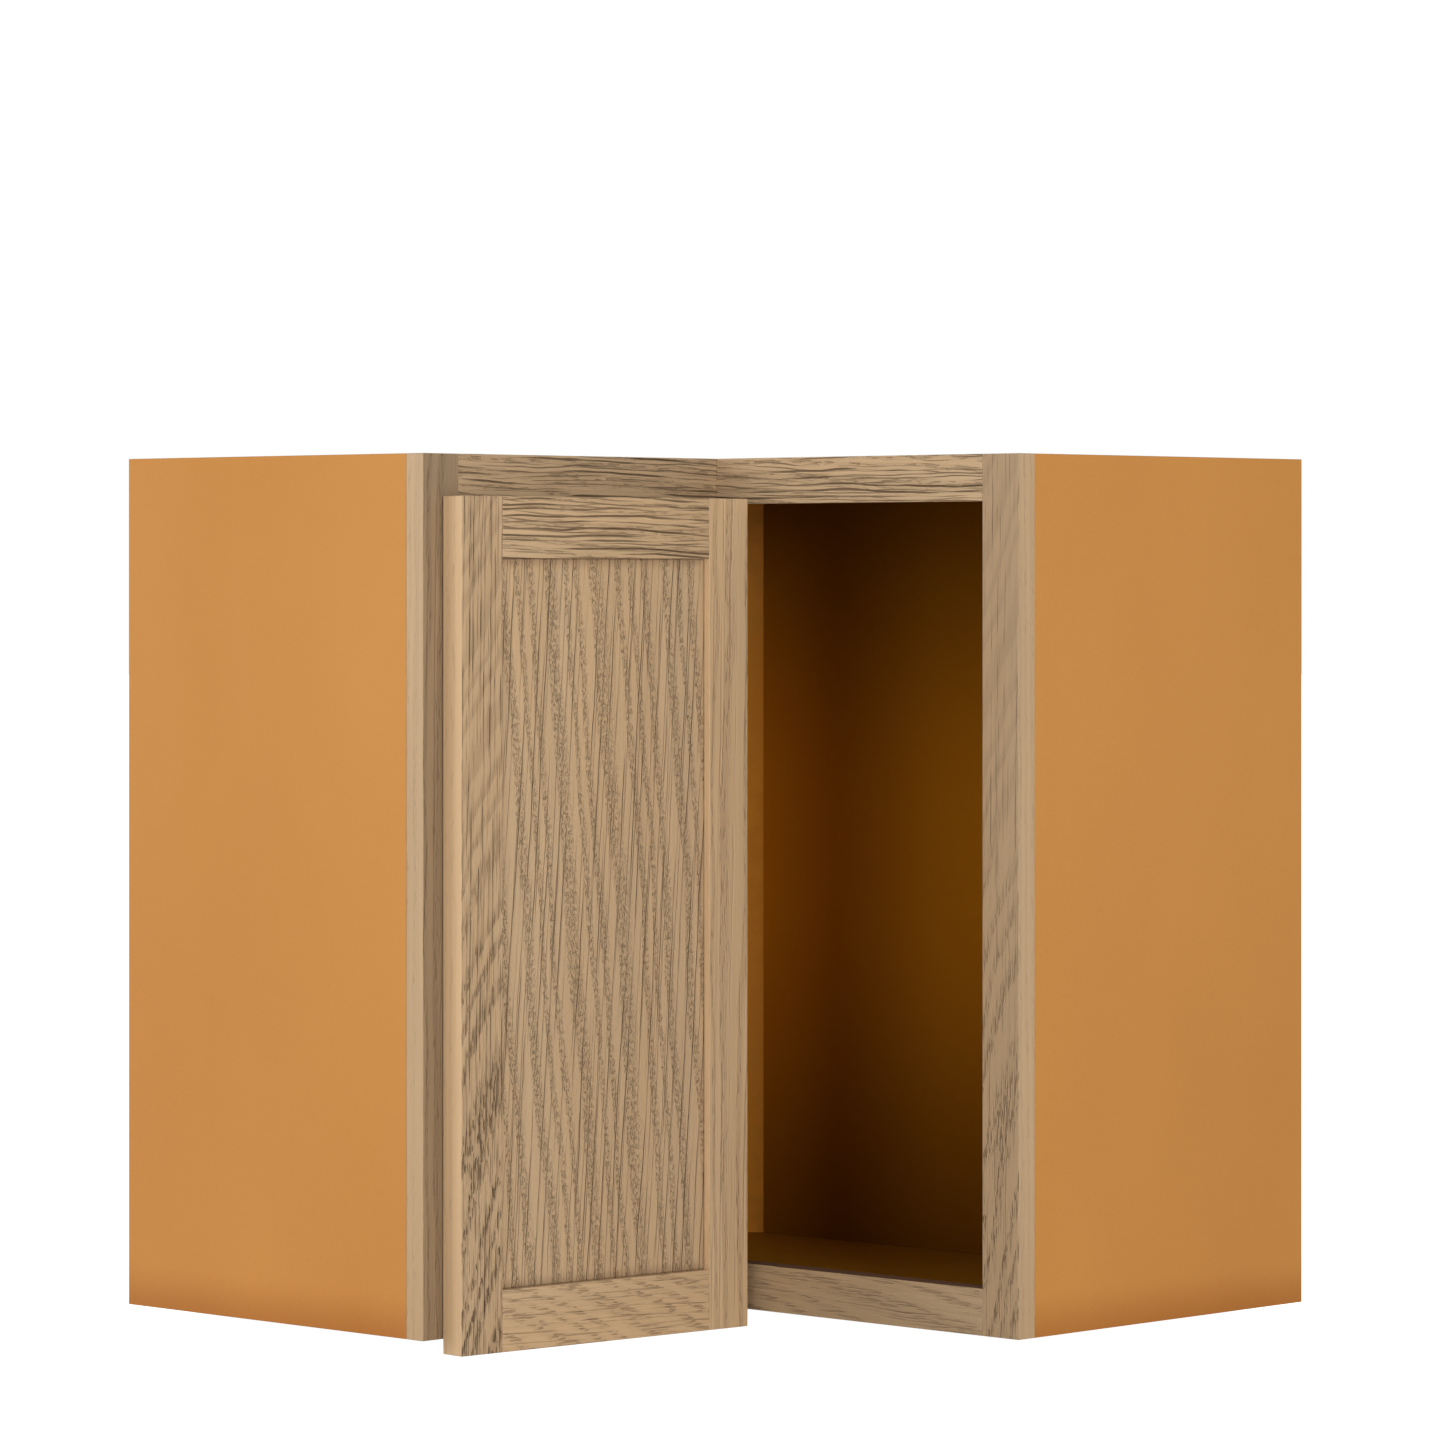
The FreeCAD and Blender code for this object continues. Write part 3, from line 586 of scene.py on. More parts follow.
class Finish:
    """A material built once, and given to the faces that it belongs on."""

    material: bpy.types.Material

    def start(self, name: str, roughness: float, metallic: float = 0.0, specular: float = 0.5
              ) -> tuple[NodeSheet, bpy.types.Node]:
        """Start a material with a Principled shader.

        Args:
            name: the material's name.
            roughness: the shader's roughness where nothing is linked to it.
            metallic: 1 for bare metal.
            specular: how strongly a coated surface mirrors the light.

        Returns:
            The sheet to add nodes to and the shader.
        """
        self.material = bpy.data.materials.new(name)
        self.material.use_nodes = True
        sheet = NodeSheet(self.material.node_tree)
        self.material.node_tree.nodes.clear()
        shader = sheet.add("ShaderNodeBsdfPrincipled")
        shader.inputs["Roughness"].default_value = roughness
        shader.inputs["Metallic"].default_value = metallic
        shader.inputs["Specular IOR Level"].default_value = specular
        output = sheet.add("ShaderNodeOutputMaterial")
        sheet.feed(output.inputs["Surface"], shader.outputs[0])
        return sheet, shader

    @staticmethod
    def bump(sheet: NodeSheet, shader: bpy.types.Node, height: Value, distance: float) -> None:
        """Feed a height to the shader's normal.

        Args:
            sheet: the material's sheet.
            shader: the shader that gets the normal.
            height: the height, where 1 is the full distance.
            distance: how far a height of 1 stands out.
        """
        node = sheet.add("ShaderNodeBump")
        node.inputs["Distance"].default_value = distance
        node.inputs["Strength"].default_value = 1.0
        sheet.feed(node.inputs["Height"], height)
        sheet.feed(shader.inputs["Normal"], node.outputs[0])

    @staticmethod
    def edge(sheet: NodeSheet) -> bpy.types.NodeSocket:
        """The mask that mark_edges stores on a piece."""
        node = sheet.add("ShaderNodeAttribute", attribute_name=EDGE_MASK)
        return node.outputs["Fac"]


@dataclass(frozen=True)
class Vessels:
    """Long open lines along the grain: lengths in metres, reach in steps to the metre."""

    gap: float
    width: float
    lean: float
    waver: float
    reach: float
    share: float
    strength: float


@dataclass(frozen=True)
class Growth:
    """Growth bands: where the pith lies from the board's middle and how the bands run."""

    gap: float
    pith_across: float
    pith_depth: float
    taper: float
    lean: float
    waver: float
    tone: float


@dataclass(frozen=True)
class Pores:
    """Short pores inside the growth bands: how closely they follow each other, and how deep.

    Pores that grow stronger towards the foot are gone at the board's upper part.
    """

    run: float
    pack: float
    strength: float
    towards_foot: bool = False


@dataclass(frozen=True)
class Cut:
    """How a board was sawn out of its log, and how open its grain is."""

    vessels: Vessels
    growth: Growth
    pores: Pores
    relief: float


class Figure(Enum):
    """The kinds of figure seen on the cabinet's oak members."""

    RUGGED = Cut(Vessels(4.6 * MM, 0.85 * MM, 0.02, 18 * MM, 10.0, 0.50, 1.0),
                 Growth(9 * MM, 0.16, 0.02, 0.02, 0.04, 0.020, 0.10),
                 Pores(70.0, 620.0, 0.45), 1.6 * MM)
    PANEL = Cut(Vessels(8.6 * MM, 0.52 * MM, 0.07, 7 * MM, 7.0, 0.55, 0.72),
                Growth(15 * MM, 0.30, 0.02, 0.03, -0.09, 0.026, 0.09),
                Pores(290.0, 980.0, 0.62), 1.6 * MM)
    QUIET = Cut(Vessels(7.5 * MM, 0.8 * MM, 0.02, 12 * MM, 7.0, 0.50, 0.42),
                Growth(11 * MM, 0.12, 0.02, 0.02, 0.01, 0.030, 0.18),
                Pores(80.0, 560.0, 0.45), 0.6 * MM)
    CHOPPED = Cut(Vessels(5.0 * MM, 0.55 * MM, 0.01, 5 * MM, 22.0, 0.50, 0.60),
                  Growth(14 * MM, -0.06, 0.012, 0.10, 0.42, 0.040, 0.16),
                  Pores(80.0, 600.0, 1.25, towards_foot=True), 2.0 * MM)
    ARCHED = Cut(Vessels(6.0 * MM, 0.5 * MM, 0.01, 6 * MM, 20.0, 0.47, 0.50),
                 Growth(13 * MM, -0.05, 0.016, 0.11, 0.30, 0.040, 0.10),
                 Pores(80.0, 700.0, 1.0, towards_foot=True), 1.2 * MM)
    SLOPING = Cut(Vessels(6.0 * MM, 0.45 * MM, 0.03, 8 * MM, 24.0, 0.48, 0.5),
                  Growth(12 * MM, 0.10, 0.012, 0.02, 0.38, 0.030, 0.07),
                  Pores(80.0, 700.0, 0.65), 1.0 * MM)
    DASHED = Cut(Vessels(6.0 * MM, 0.45 * MM, 0.03, 8 * MM, 24.0, 0.48, 0.35),
                 Growth(12 * MM, 0.10, 0.012, 0.02, 0.14, 0.030, 0.07),
                 Pores(52.0, 900.0, 0.55), 0.8 * MM)
    SANDED = Cut(Vessels(6.0 * MM, 0.6 * MM, 0.01, 5 * MM, 7.0, 0.42, 0.25),
                 Growth(9 * MM, 0.12, 0.02, 0.02, 0.01, 0.012, 0.05),
                 Pores(90.0, 620.0, 0.30), 0.3 * MM)


@dataclass(frozen=True)
class OakTone:
    """Colours of one oak board and its lacquer."""

    light: Colour
    dark: Colour
    roughness: float = 0.55

    def toned_and_lit(self, share: float) -> "OakTone":
        """The same board with its colours scaled."""
        return OakTone(tuple(part * share for part in self.light),
                       tuple(part * share for part in self.dark), self.roughness)


WORN_OAK = srgb(196, 168, 134)
OAK = OakTone(srgb(208, 177, 138), srgb(104, 76, 50))


class OakFinish(Finish):
    """Lacquered open-pored oak, cut for one board."""

    MINOR_GAP = 0.63
    MINOR_WIDTH = 0.55
    MINOR_PLACE = (0.37, 0.211, 0.13)
    PORES_GROW = (0.16, -0.22)
    WARM_EDGE = (0.35, 0.65)
    WARM_TOP = 0.35
    WARM_TINT = (1.03, 0.95, 0.86)
    WEAR = 0.35
    SPECULAR = 0.35
    GROOVE_ROUGHNESS = 0.25

    def __init__(self, effects: Effects, name: str, lie: Lie, figure: Figure, tone: OakTone,
                 shift: float, recess: tuple[float, float] | None = None) -> None:
        """Build the finish of one board.

        Args:
            effects: the shared node groups.
            name: the material's name.
            lie: the board's middle, grain direction and face direction.
            figure: the kind of figure.
            tone: the board's colours.
            shift: distance that sets this board's fine marks apart from the others.
            recess: half the length and half the width between the members round a sunk panel.
        """
        cut = figure.value
        sheet, shader = self.start(name, tone.roughness, specular=self.SPECULAR)
        where = sheet.place_on_object()
        mapping = sheet.add("ShaderNodeMapping", vector_type="POINT")
        place, turn = lie.mapping()
        mapping.inputs["Location"].default_value = place
        mapping.inputs["Rotation"].default_value = turn
        sheet.feed(mapping.inputs["Vector"], where)
        board = mapping.outputs[0]
        point = sheet.vector_math("ADD", board, (shift, 0.0, 0.0))
        growth = sheet.place(effects.growth, vector=board, gap=cut.growth.gap,
                             pith_across=cut.growth.pith_across,
                             pith_depth=-cut.growth.pith_depth, taper=cut.growth.taper,
                             lean=cut.growth.lean, waver=cut.growth.waver)
        major, lips = self._lines(sheet, effects, point, cut.vessels, 1.0, 1.0)
        aside = sheet.vector_math("ADD", point, self.MINOR_PLACE)
        minor, _ = self._lines(sheet, effects, aside, cut.vessels, self.MINOR_GAP,
                               self.MINOR_WIDTH)
        figured = sheet.place(effects.figure, vector=point, ring=growth.outputs["Ring"],
                              major=major, minor=minor, lips=lips, lines=cut.vessels.strength,
                              pore_run=cut.pores.run, pore_pack=cut.pores.pack,
                              pores=self._pore_strength(sheet, board, cut.pores),
                              bands=cut.growth.tone)
        warmer = tuple(part * tint for part, tint in zip(tone.light, self.WARM_TINT))
        share = sheet.step(figured.outputs["Warmth"], *self.WARM_EDGE, self.WARM_TOP)
        warm = sheet.blend(share, tone.light, warmer)
        colour = sheet.blend(figured.outputs["Tone"], tone.dark, warm)
        wear = sheet.place(effects.edge_wear, vector=where, edge=self.edge(sheet), amount=self.WEAR)
        colour = sheet.blend(wear.outputs["Wear"], colour, WORN_OAK)
        # painted shade: the sunk panel darkens within a few millimetres of the members round it
        if recess is not None:
            shade = self._recess_shade(sheet, effects, board, recess)
            colour = sheet.blend(shade, colour, tone.dark)
        sheet.feed(shader.inputs["Base Color"], colour)
        rough = sheet.math("MULTIPLY_ADD", figured.outputs["Groove"], self.GROOVE_ROUGHNESS,
                           tone.roughness, clamp=True)
        sheet.feed(shader.inputs["Roughness"], rough)
        self.bump(sheet, shader, figured.outputs["Height"], cut.relief)

    @staticmethod
    def _recess_shade(sheet: NodeSheet, effects: Effects, board: bpy.types.NodeSocket,
                      recess: tuple[float, float]) -> bpy.types.NodeSocket:
        """Painted shade where a sunk panel meets the members round it.

        Args:
            sheet: the material's sheet.
            effects: the shared node groups.
            board: the point in the board's own directions.
            recess: half the length and half the width that the panel shows.

        Returns:
            The shade, from 0 to 1.
        """
        node = sheet.place(effects.recess, vector=board, half_length=recess[0],
                           half_width=recess[1])
        return node.outputs["Shade"]

    @staticmethod
    def _pore_strength(sheet: NodeSheet, board: bpy.types.NodeSocket, pores: Pores) -> Value:
        """The pores' strength: the same all over, or growing towards the board's foot.

        Args:
            sheet: the material's sheet.
            board: the point in the board's own directions.
            pores: the cut's pores.

        Returns:
            The strength.
        """
        if not pores.towards_foot:
            return pores.strength
        along = sheet.parts(board)[0]
        return sheet.step(along, *OakFinish.PORES_GROW, pores.strength)

    @staticmethod
    def _lines(sheet: NodeSheet, effects: Effects, point: bpy.types.NodeSocket, vessels: Vessels,
               gap_share: float, width_share: float) -> tuple[bpy.types.NodeSocket, ...]:
        """One family of vessel lines and their painted highlights, closer and finer by the shares.

        Args:
            sheet: the material's sheet.
            effects: the shared node groups.
            point: where the lines are read.
            vessels: the size and run of the lines.
            gap_share: share of the full gap.
            width_share: share of the full width.

        Returns:
            The lines and their painted highlights.
        """
        node = sheet.place(effects.vessels, vector=point, gap=vessels.gap * gap_share,
                           width=vessels.width * width_share, lean=vessels.lean,
                           waver=vessels.waver, reach=vessels.reach, share=vessels.share)
        return node.outputs["Line"], node.outputs["Line Highlight"]


class LaminateFinish(Finish):
    """Satin sheet laminate with a fine printed mottle and, where asked, painted shade at foot and
    head.
    """

    HEAD = (0.34, 0.62)
    FOOT = (0.30, -0.03)
    FOOT_SHADE_BAND = (0.034, -0.004)
    PRINT = 900.0
    MOTTLE = (0.5, 0.25)
    WEAR = 0.5
    SMEAR_ROUGHNESS = 0.10
    RELIEF = 0.04 * MM

    def __init__(self, effects: Effects, name: str, colour: Colour, dark: Colour,
                 roughness: float = 0.42, specular: float = 0.3, foot_shade: float = 0.0,
                 end_shade: float = 0.0) -> None:
        """Build the finish.

        Args:
            effects: the shared node groups.
            name: the material's name.
            colour: the main colour.
            dark: the colour of the mottle, the scuffs and the painted shade at the foot.
            roughness: how dull the sheen is.
            specular: how strong the sheen is.
            foot_shade: how far the lowest edge goes towards the dark colour, as painted shade.
            end_shade: how much darker the head and foot of an inner face are, as painted shade.
        """
        sheet, shader = self.start(name, roughness, specular=specular)
        where = sheet.place_on_object()
        speckle = sheet.place(effects.speckle, vector=where, grain_size=self.PRINT)
        share = sheet.math("MULTIPLY_ADD", speckle.outputs["Mottle"], *self.MOTTLE)
        # painted shade: the lowest few centimetres darken towards the dark colour, as if the floor
        # shaded them
        height = sheet.parts(where)[2]
        lowest = sheet.step(height, *self.FOOT_SHADE_BAND, foot_shade)
        share = sheet.math("ADD", share, lowest, clamp=True)
        wear = sheet.place(effects.edge_wear, vector=where, edge=self.edge(sheet), amount=self.WEAR)
        base = sheet.blend(share, colour, dark)
        # painted shade: head and foot of an inner face darken towards black, as if light reached
        # mostly the middle
        if end_shade:
            head = sheet.step(height, *self.HEAD, end_shade)
            foot = sheet.step(height, *self.FOOT, end_shade)
            base = sheet.blend(sheet.math("ADD", head, foot, clamp=True), base, BLACK)
        sheet.feed(shader.inputs["Base Color"], sheet.blend(wear.outputs["Wear"], base, dark))
        rough = sheet.math("MULTIPLY_ADD", speckle.outputs["Smear"], self.SMEAR_ROUGHNESS, roughness)
        sheet.feed(shader.inputs["Roughness"], rough)
        self.bump(sheet, shader, speckle.outputs["Height"], self.RELIEF)


class ChipboardFinish(Finish):
    """Sawn chipboard: packed flakes of several browns with dark gaps."""

    FLAKE_SCALE = (380.0, 380.0, 1100.0)
    FLAKES = (srgb(150, 116, 74), srgb(206, 172, 122))
    GAP = srgb(86, 60, 36)
    GAP_EDGE = (0.45, 0.85)
    RELIEF = 0.4 * MM

    def __init__(self) -> None:
        """Build the finish."""
        sheet, shader = self.start("chipboard", 0.85, specular=0.2)
        where = sheet.place_on_object()
        flakes = sheet.add("ShaderNodeTexVoronoi", feature="F1")
        packed = sheet.vector_math("MULTIPLY", where, self.FLAKE_SCALE)
        sheet.feed(flakes.inputs["Vector"], packed)
        flakes.inputs["Scale"].default_value = 1.0
        shade = sheet.add("ShaderNodeSeparateColor")
        sheet.feed(shade.inputs[0], flakes.outputs["Color"])
        colour = sheet.blend(shade.outputs[0], *self.FLAKES)
        gap = sheet.step(flakes.outputs["Distance"], *self.GAP_EDGE)
        colour = sheet.blend(gap, colour, self.GAP)
        sheet.feed(shader.inputs["Base Color"], colour)
        self.bump(sheet, shader, sheet.math("MULTIPLY", gap, -1.0), self.RELIEF)


class HardboardFinish(Finish):
    """The raw rear of a back panel: brown pressed fibre with a woven screen print."""

    FIBRE_SCALE = (260.0, 260.0, 90.0)
    FIBRE_EDGE = (0.3, 0.7)
    BROWNS = (srgb(98, 68, 42), srgb(140, 104, 68))
    SCREEN = 650.0
    SCREEN_UNEVEN = 0.15
    RELIEF = 0.15 * MM

    def __init__(self) -> None:
        """Build the finish."""
        sheet, shader = self.start("hardboard_rear", 0.8, specular=0.2)
        where = sheet.place_on_object()
        fibre = sheet.noise(where, self.FIBRE_SCALE, 5.0, 0.7)
        colour = sheet.blend(sheet.step(fibre, *self.FIBRE_EDGE), *self.BROWNS)
        sheet.feed(shader.inputs["Base Color"], colour)
        cross = sheet.add("ShaderNodeTexVoronoi", feature="F1", distance="CHEBYCHEV")
        cross.inputs["Scale"].default_value = self.SCREEN
        cross.inputs["Randomness"].default_value = self.SCREEN_UNEVEN
        sheet.feed(cross.inputs["Vector"], where)
        self.bump(sheet, shader, sheet.math("ADD", cross.outputs["Distance"], fibre),
                  self.RELIEF)


class SteelFinish(Finish):
    """Plated steel with a fine drawn brush and dulled patches."""

    DULL = srgb(120, 114, 104)
    CLOUD_SCALE = (60.0, 60.0, 60.0)
    DULL_EDGE = (0.35, 0.75)
    DULL_TOP = 0.5
    ROUGHNESS_SPAN = 0.25
    SMOOTHEST = 0.1
    RELIEF = 0.03 * MM

    def __init__(self, name: str, colour: Colour, roughness: float, brush: Colour) -> None:
        """Build the finish.

        Args:
            name: the material's name.
            colour: the colour of the clean metal.
            roughness: how dull it is.
            brush: how closely the brush marks follow each other along each axis.
        """
        sheet, shader = self.start(name, roughness, metallic=1.0)
        where = sheet.place_on_object()
        marks = sheet.noise(where, brush, 3.0, 0.6)
        cloud = sheet.noise(where, self.CLOUD_SCALE, 3.0)
        dulled = sheet.blend(sheet.step(cloud, *self.DULL_EDGE, self.DULL_TOP), colour, self.DULL)
        sheet.feed(shader.inputs["Base Color"], dulled)
        rough = sheet.math("MULTIPLY_ADD", cloud, self.ROUGHNESS_SPAN, roughness - self.SMOOTHEST)
        sheet.feed(shader.inputs["Roughness"], rough)
        self.bump(sheet, shader, marks, self.RELIEF)


class SoftDotFinish(Finish):
    """Clear soft plastic of the door bumpers, slightly clouded."""

    CLOUD_SCALE = (400.0, 400.0, 400.0)
    TINTS = (srgb(196, 192, 180), srgb(226, 223, 214))
    RELIEF = 0.05 * MM

    def __init__(self) -> None:
        """Build the finish."""
        sheet, shader = self.start("soft_plastic", 0.35)
        where = sheet.place_on_object()
        cloud = sheet.noise(where, self.CLOUD_SCALE, 3.0)
        sheet.feed(shader.inputs["Base Color"], sheet.blend(cloud, *self.TINTS))
        self.bump(sheet, shader, cloud, self.RELIEF)


# ---------------------------------------------------------------------------- modelling steps
def select_faces(mesh_object: bpy.types.Object, wanted: Callable[[bmesh.types.BMFace], bool]
                 ) -> None:
    """Select the faces of the edited mesh that a test accepts, and nothing else.

    Args:
        mesh_object: the object in edit mode.
        wanted: the test.
    """
    shape = bmesh.from_edit_mesh(mesh_object.data)
    shape.select_mode = {"FACE"}
    for element in (*shape.verts, *shape.edges, *shape.faces):
        element.select = False
    for face in shape.faces:
        face.select_set(wanted(face))
    shape.select_flush_mode()
    bmesh.update_edit_mesh(mesh_object.data)


def facing(direction: Vector) -> Callable[[bmesh.types.BMFace], bool]:
    """A test for faces that look along a direction."""
    return lambda face: face.normal.dot(direction) > SAME_WAY


@dataclass
class Workpiece:
    """A piece on the bench: started from a block and shaped in edit mode."""

    name: str
    low: Vector
    high: Vector
    object: bpy.types.Object = field(init=False)

    BIT_SIDES = 64
    FLAT_ANGLE = math.radians(1)
    EASED_ANGLE = math.radians(30)
    EASING_STEPS = 3

    def block(self) -> "Workpiece":
        """Add the block that the piece is cut from.

        Returns:
            The workpiece, in edit mode.
        """
        bpy.ops.object.select_all(action="DESELECT")
        bpy.ops.mesh.primitive_cube_add(size=1.0, location=(self.low + self.high) / 2)
        self.object = bpy.context.object
        self.object.name = self.name
        self.object.data.name = self.name
        self.object.scale = self.high - self.low
        bpy.ops.object.transform_apply(location=True, rotation=True, scale=True)
        bpy.ops.object.mode_set(mode="EDIT")
        return self

    def saw(self, point: Vector, normal: Vector, drop: bool = False) -> "Workpiece":
        """Cut along a plane, and drop the part that the normal points to if asked.

        Args:
            point: a point on the plane.
            normal: the plane's normal.
            drop: whether that part is dropped and the cut is closed.

        Returns:
            The workpiece, still in edit mode.
        """
        bpy.ops.mesh.select_all(action="SELECT")
        bpy.ops.mesh.bisect(plane_co=point, plane_no=normal, clear_outer=drop, use_fill=drop)
        return self

    def raise_faces(self, wanted: Callable[[bmesh.types.BMFace], bool], by: Vector) -> "Workpiece":
        """Extrude the faces that a test accepts.

        Args:
            wanted: the test.
            by: how far and which way they are drawn out.

        Returns:
            The workpiece, still in edit mode.
        """
        select_faces(self.object, wanted)
        bpy.ops.mesh.extrude_region_move(TRANSFORM_OT_translate={"value": by})
        return self

    def drill(self, mouth: Vector, radius: float, depth: float) -> "Workpiece":
        """Bore a blind hole along X.

        Args:
            mouth: the hole's centre on the surface.
            radius: the hole's radius.
            depth: how deep it goes towards +X.

        Returns:
            The workpiece, still in edit mode.
        """
        bpy.ops.object.mode_set(mode="OBJECT")
        bpy.ops.object.select_all(action="DESELECT")
        bpy.ops.mesh.primitive_cylinder_add(vertices=self.BIT_SIDES, radius=radius, depth=2 * depth,
                                            location=mouth, rotation=(0.0, math.pi / 2, 0.0))
        bit = bpy.context.object
        bpy.ops.object.transform_apply(location=True, rotation=True, scale=True)
        bit.select_set(False)
        self.object.select_set(True)
        bpy.context.view_layer.objects.active = self.object
        bore = self.object.modifiers.new("bore", "BOOLEAN")
        bore.operation = "DIFFERENCE"
        bore.solver = "EXACT"
        bore.object = bit
        bpy.ops.object.modifier_apply(modifier=bore.name)
        bpy.data.meshes.remove(bit.data)
        bpy.ops.object.mode_set(mode="EDIT")
        return self

    def finish(self, easing: float, swing: Matrix | None = None) -> bpy.types.Object:
        """Ease the edges, turn the piece to where it stands and mark its edges.

        Args:
            easing: width of the eased edges.
            swing: where the piece stands, if it isn't where it was modelled.

        Returns:
            The finished object, with its place in its mesh.
        """
        bpy.ops.mesh.select_all(action="SELECT")
        bpy.ops.mesh.dissolve_limited(angle_limit=self.FLAT_ANGLE)
        bpy.ops.object.mode_set(mode="OBJECT")
        bevel = self.object.modifiers.new("easing", "BEVEL")
        bevel.width = easing
        bevel.segments = self.EASING_STEPS
        bevel.limit_method = "ANGLE"
        bevel.angle_limit = self.EASED_ANGLE
        bpy.ops.object.modifier_apply(modifier=bevel.name)
        mark_edges(self.object)
        if swing is not None:
            self.object.matrix_world = swing
            bpy.ops.object.transform_apply(location=True, rotation=True, scale=True)
        bpy.ops.object.shade_smooth()
        flats = self.object.modifiers.new("flats", "WEIGHTED_NORMAL")
        bpy.ops.object.modifier_apply(modifier=flats.name)
        return self.object


def mark_edges(piece: bpy.types.Object) -> None:
    """Store 0 on the faces square to the axes and 1 on the others, where a finish shows wear.

    Those are mostly the eased edges.  Bores, slanting cuts and the corner sheet's broad faces
    count too, so the laminate of that sheet has scuffs all over.

    Args:
        piece: the piece, before it is swung to where it stands.
    """
    mask = piece.data.attributes.new(EDGE_MASK, "FLOAT", "FACE")
    worn = [0.0 if max(abs(part) for part in face.normal) > ON_AXIS else 1.0
            for face in piece.data.polygons]
    mask.data.foreach_set("value", worn)


def coat(piece: bpy.types.Object, finish: Finish) -> None:
    """Give all of a piece's faces one finish."""
    piece.data.materials.clear()
    piece.data.materials.append(finish.material)


def deliver(piece: bpy.types.Object, body: str, node: str, finish: Finish) -> None:
    """Hand a finished piece over: its material, what it stands for and what it rides on.

    Args:
        piece: the finished piece.
        body: the CAD body that it moves with.
        node: the CAD node that it stands for.
        finish: the finish of all its faces.
    """
    coat(piece, finish)
    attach(piece, body)
    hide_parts(node)
    log.info("%s: %d faces on %s", piece.name, len(piece.data.polygons), body)


def dress_faces(piece: bpy.types.Object, finish: Finish,
                wanted: Callable[[bpy.types.MeshPolygon], bool]) -> None:
    """Give the faces that a test accepts a finish of their own.

    Args:
        piece: the finished piece.
        finish: the finish of those faces.
        wanted: the test.
    """
    piece.data.materials.append(finish.material)
    index = len(piece.data.materials) - 1
    for face in piece.data.polygons:
        if wanted(face):
            face.material_index = index


X = Axis.X.vector
Y = Axis.Y.vector
Z = Axis.Z.vector


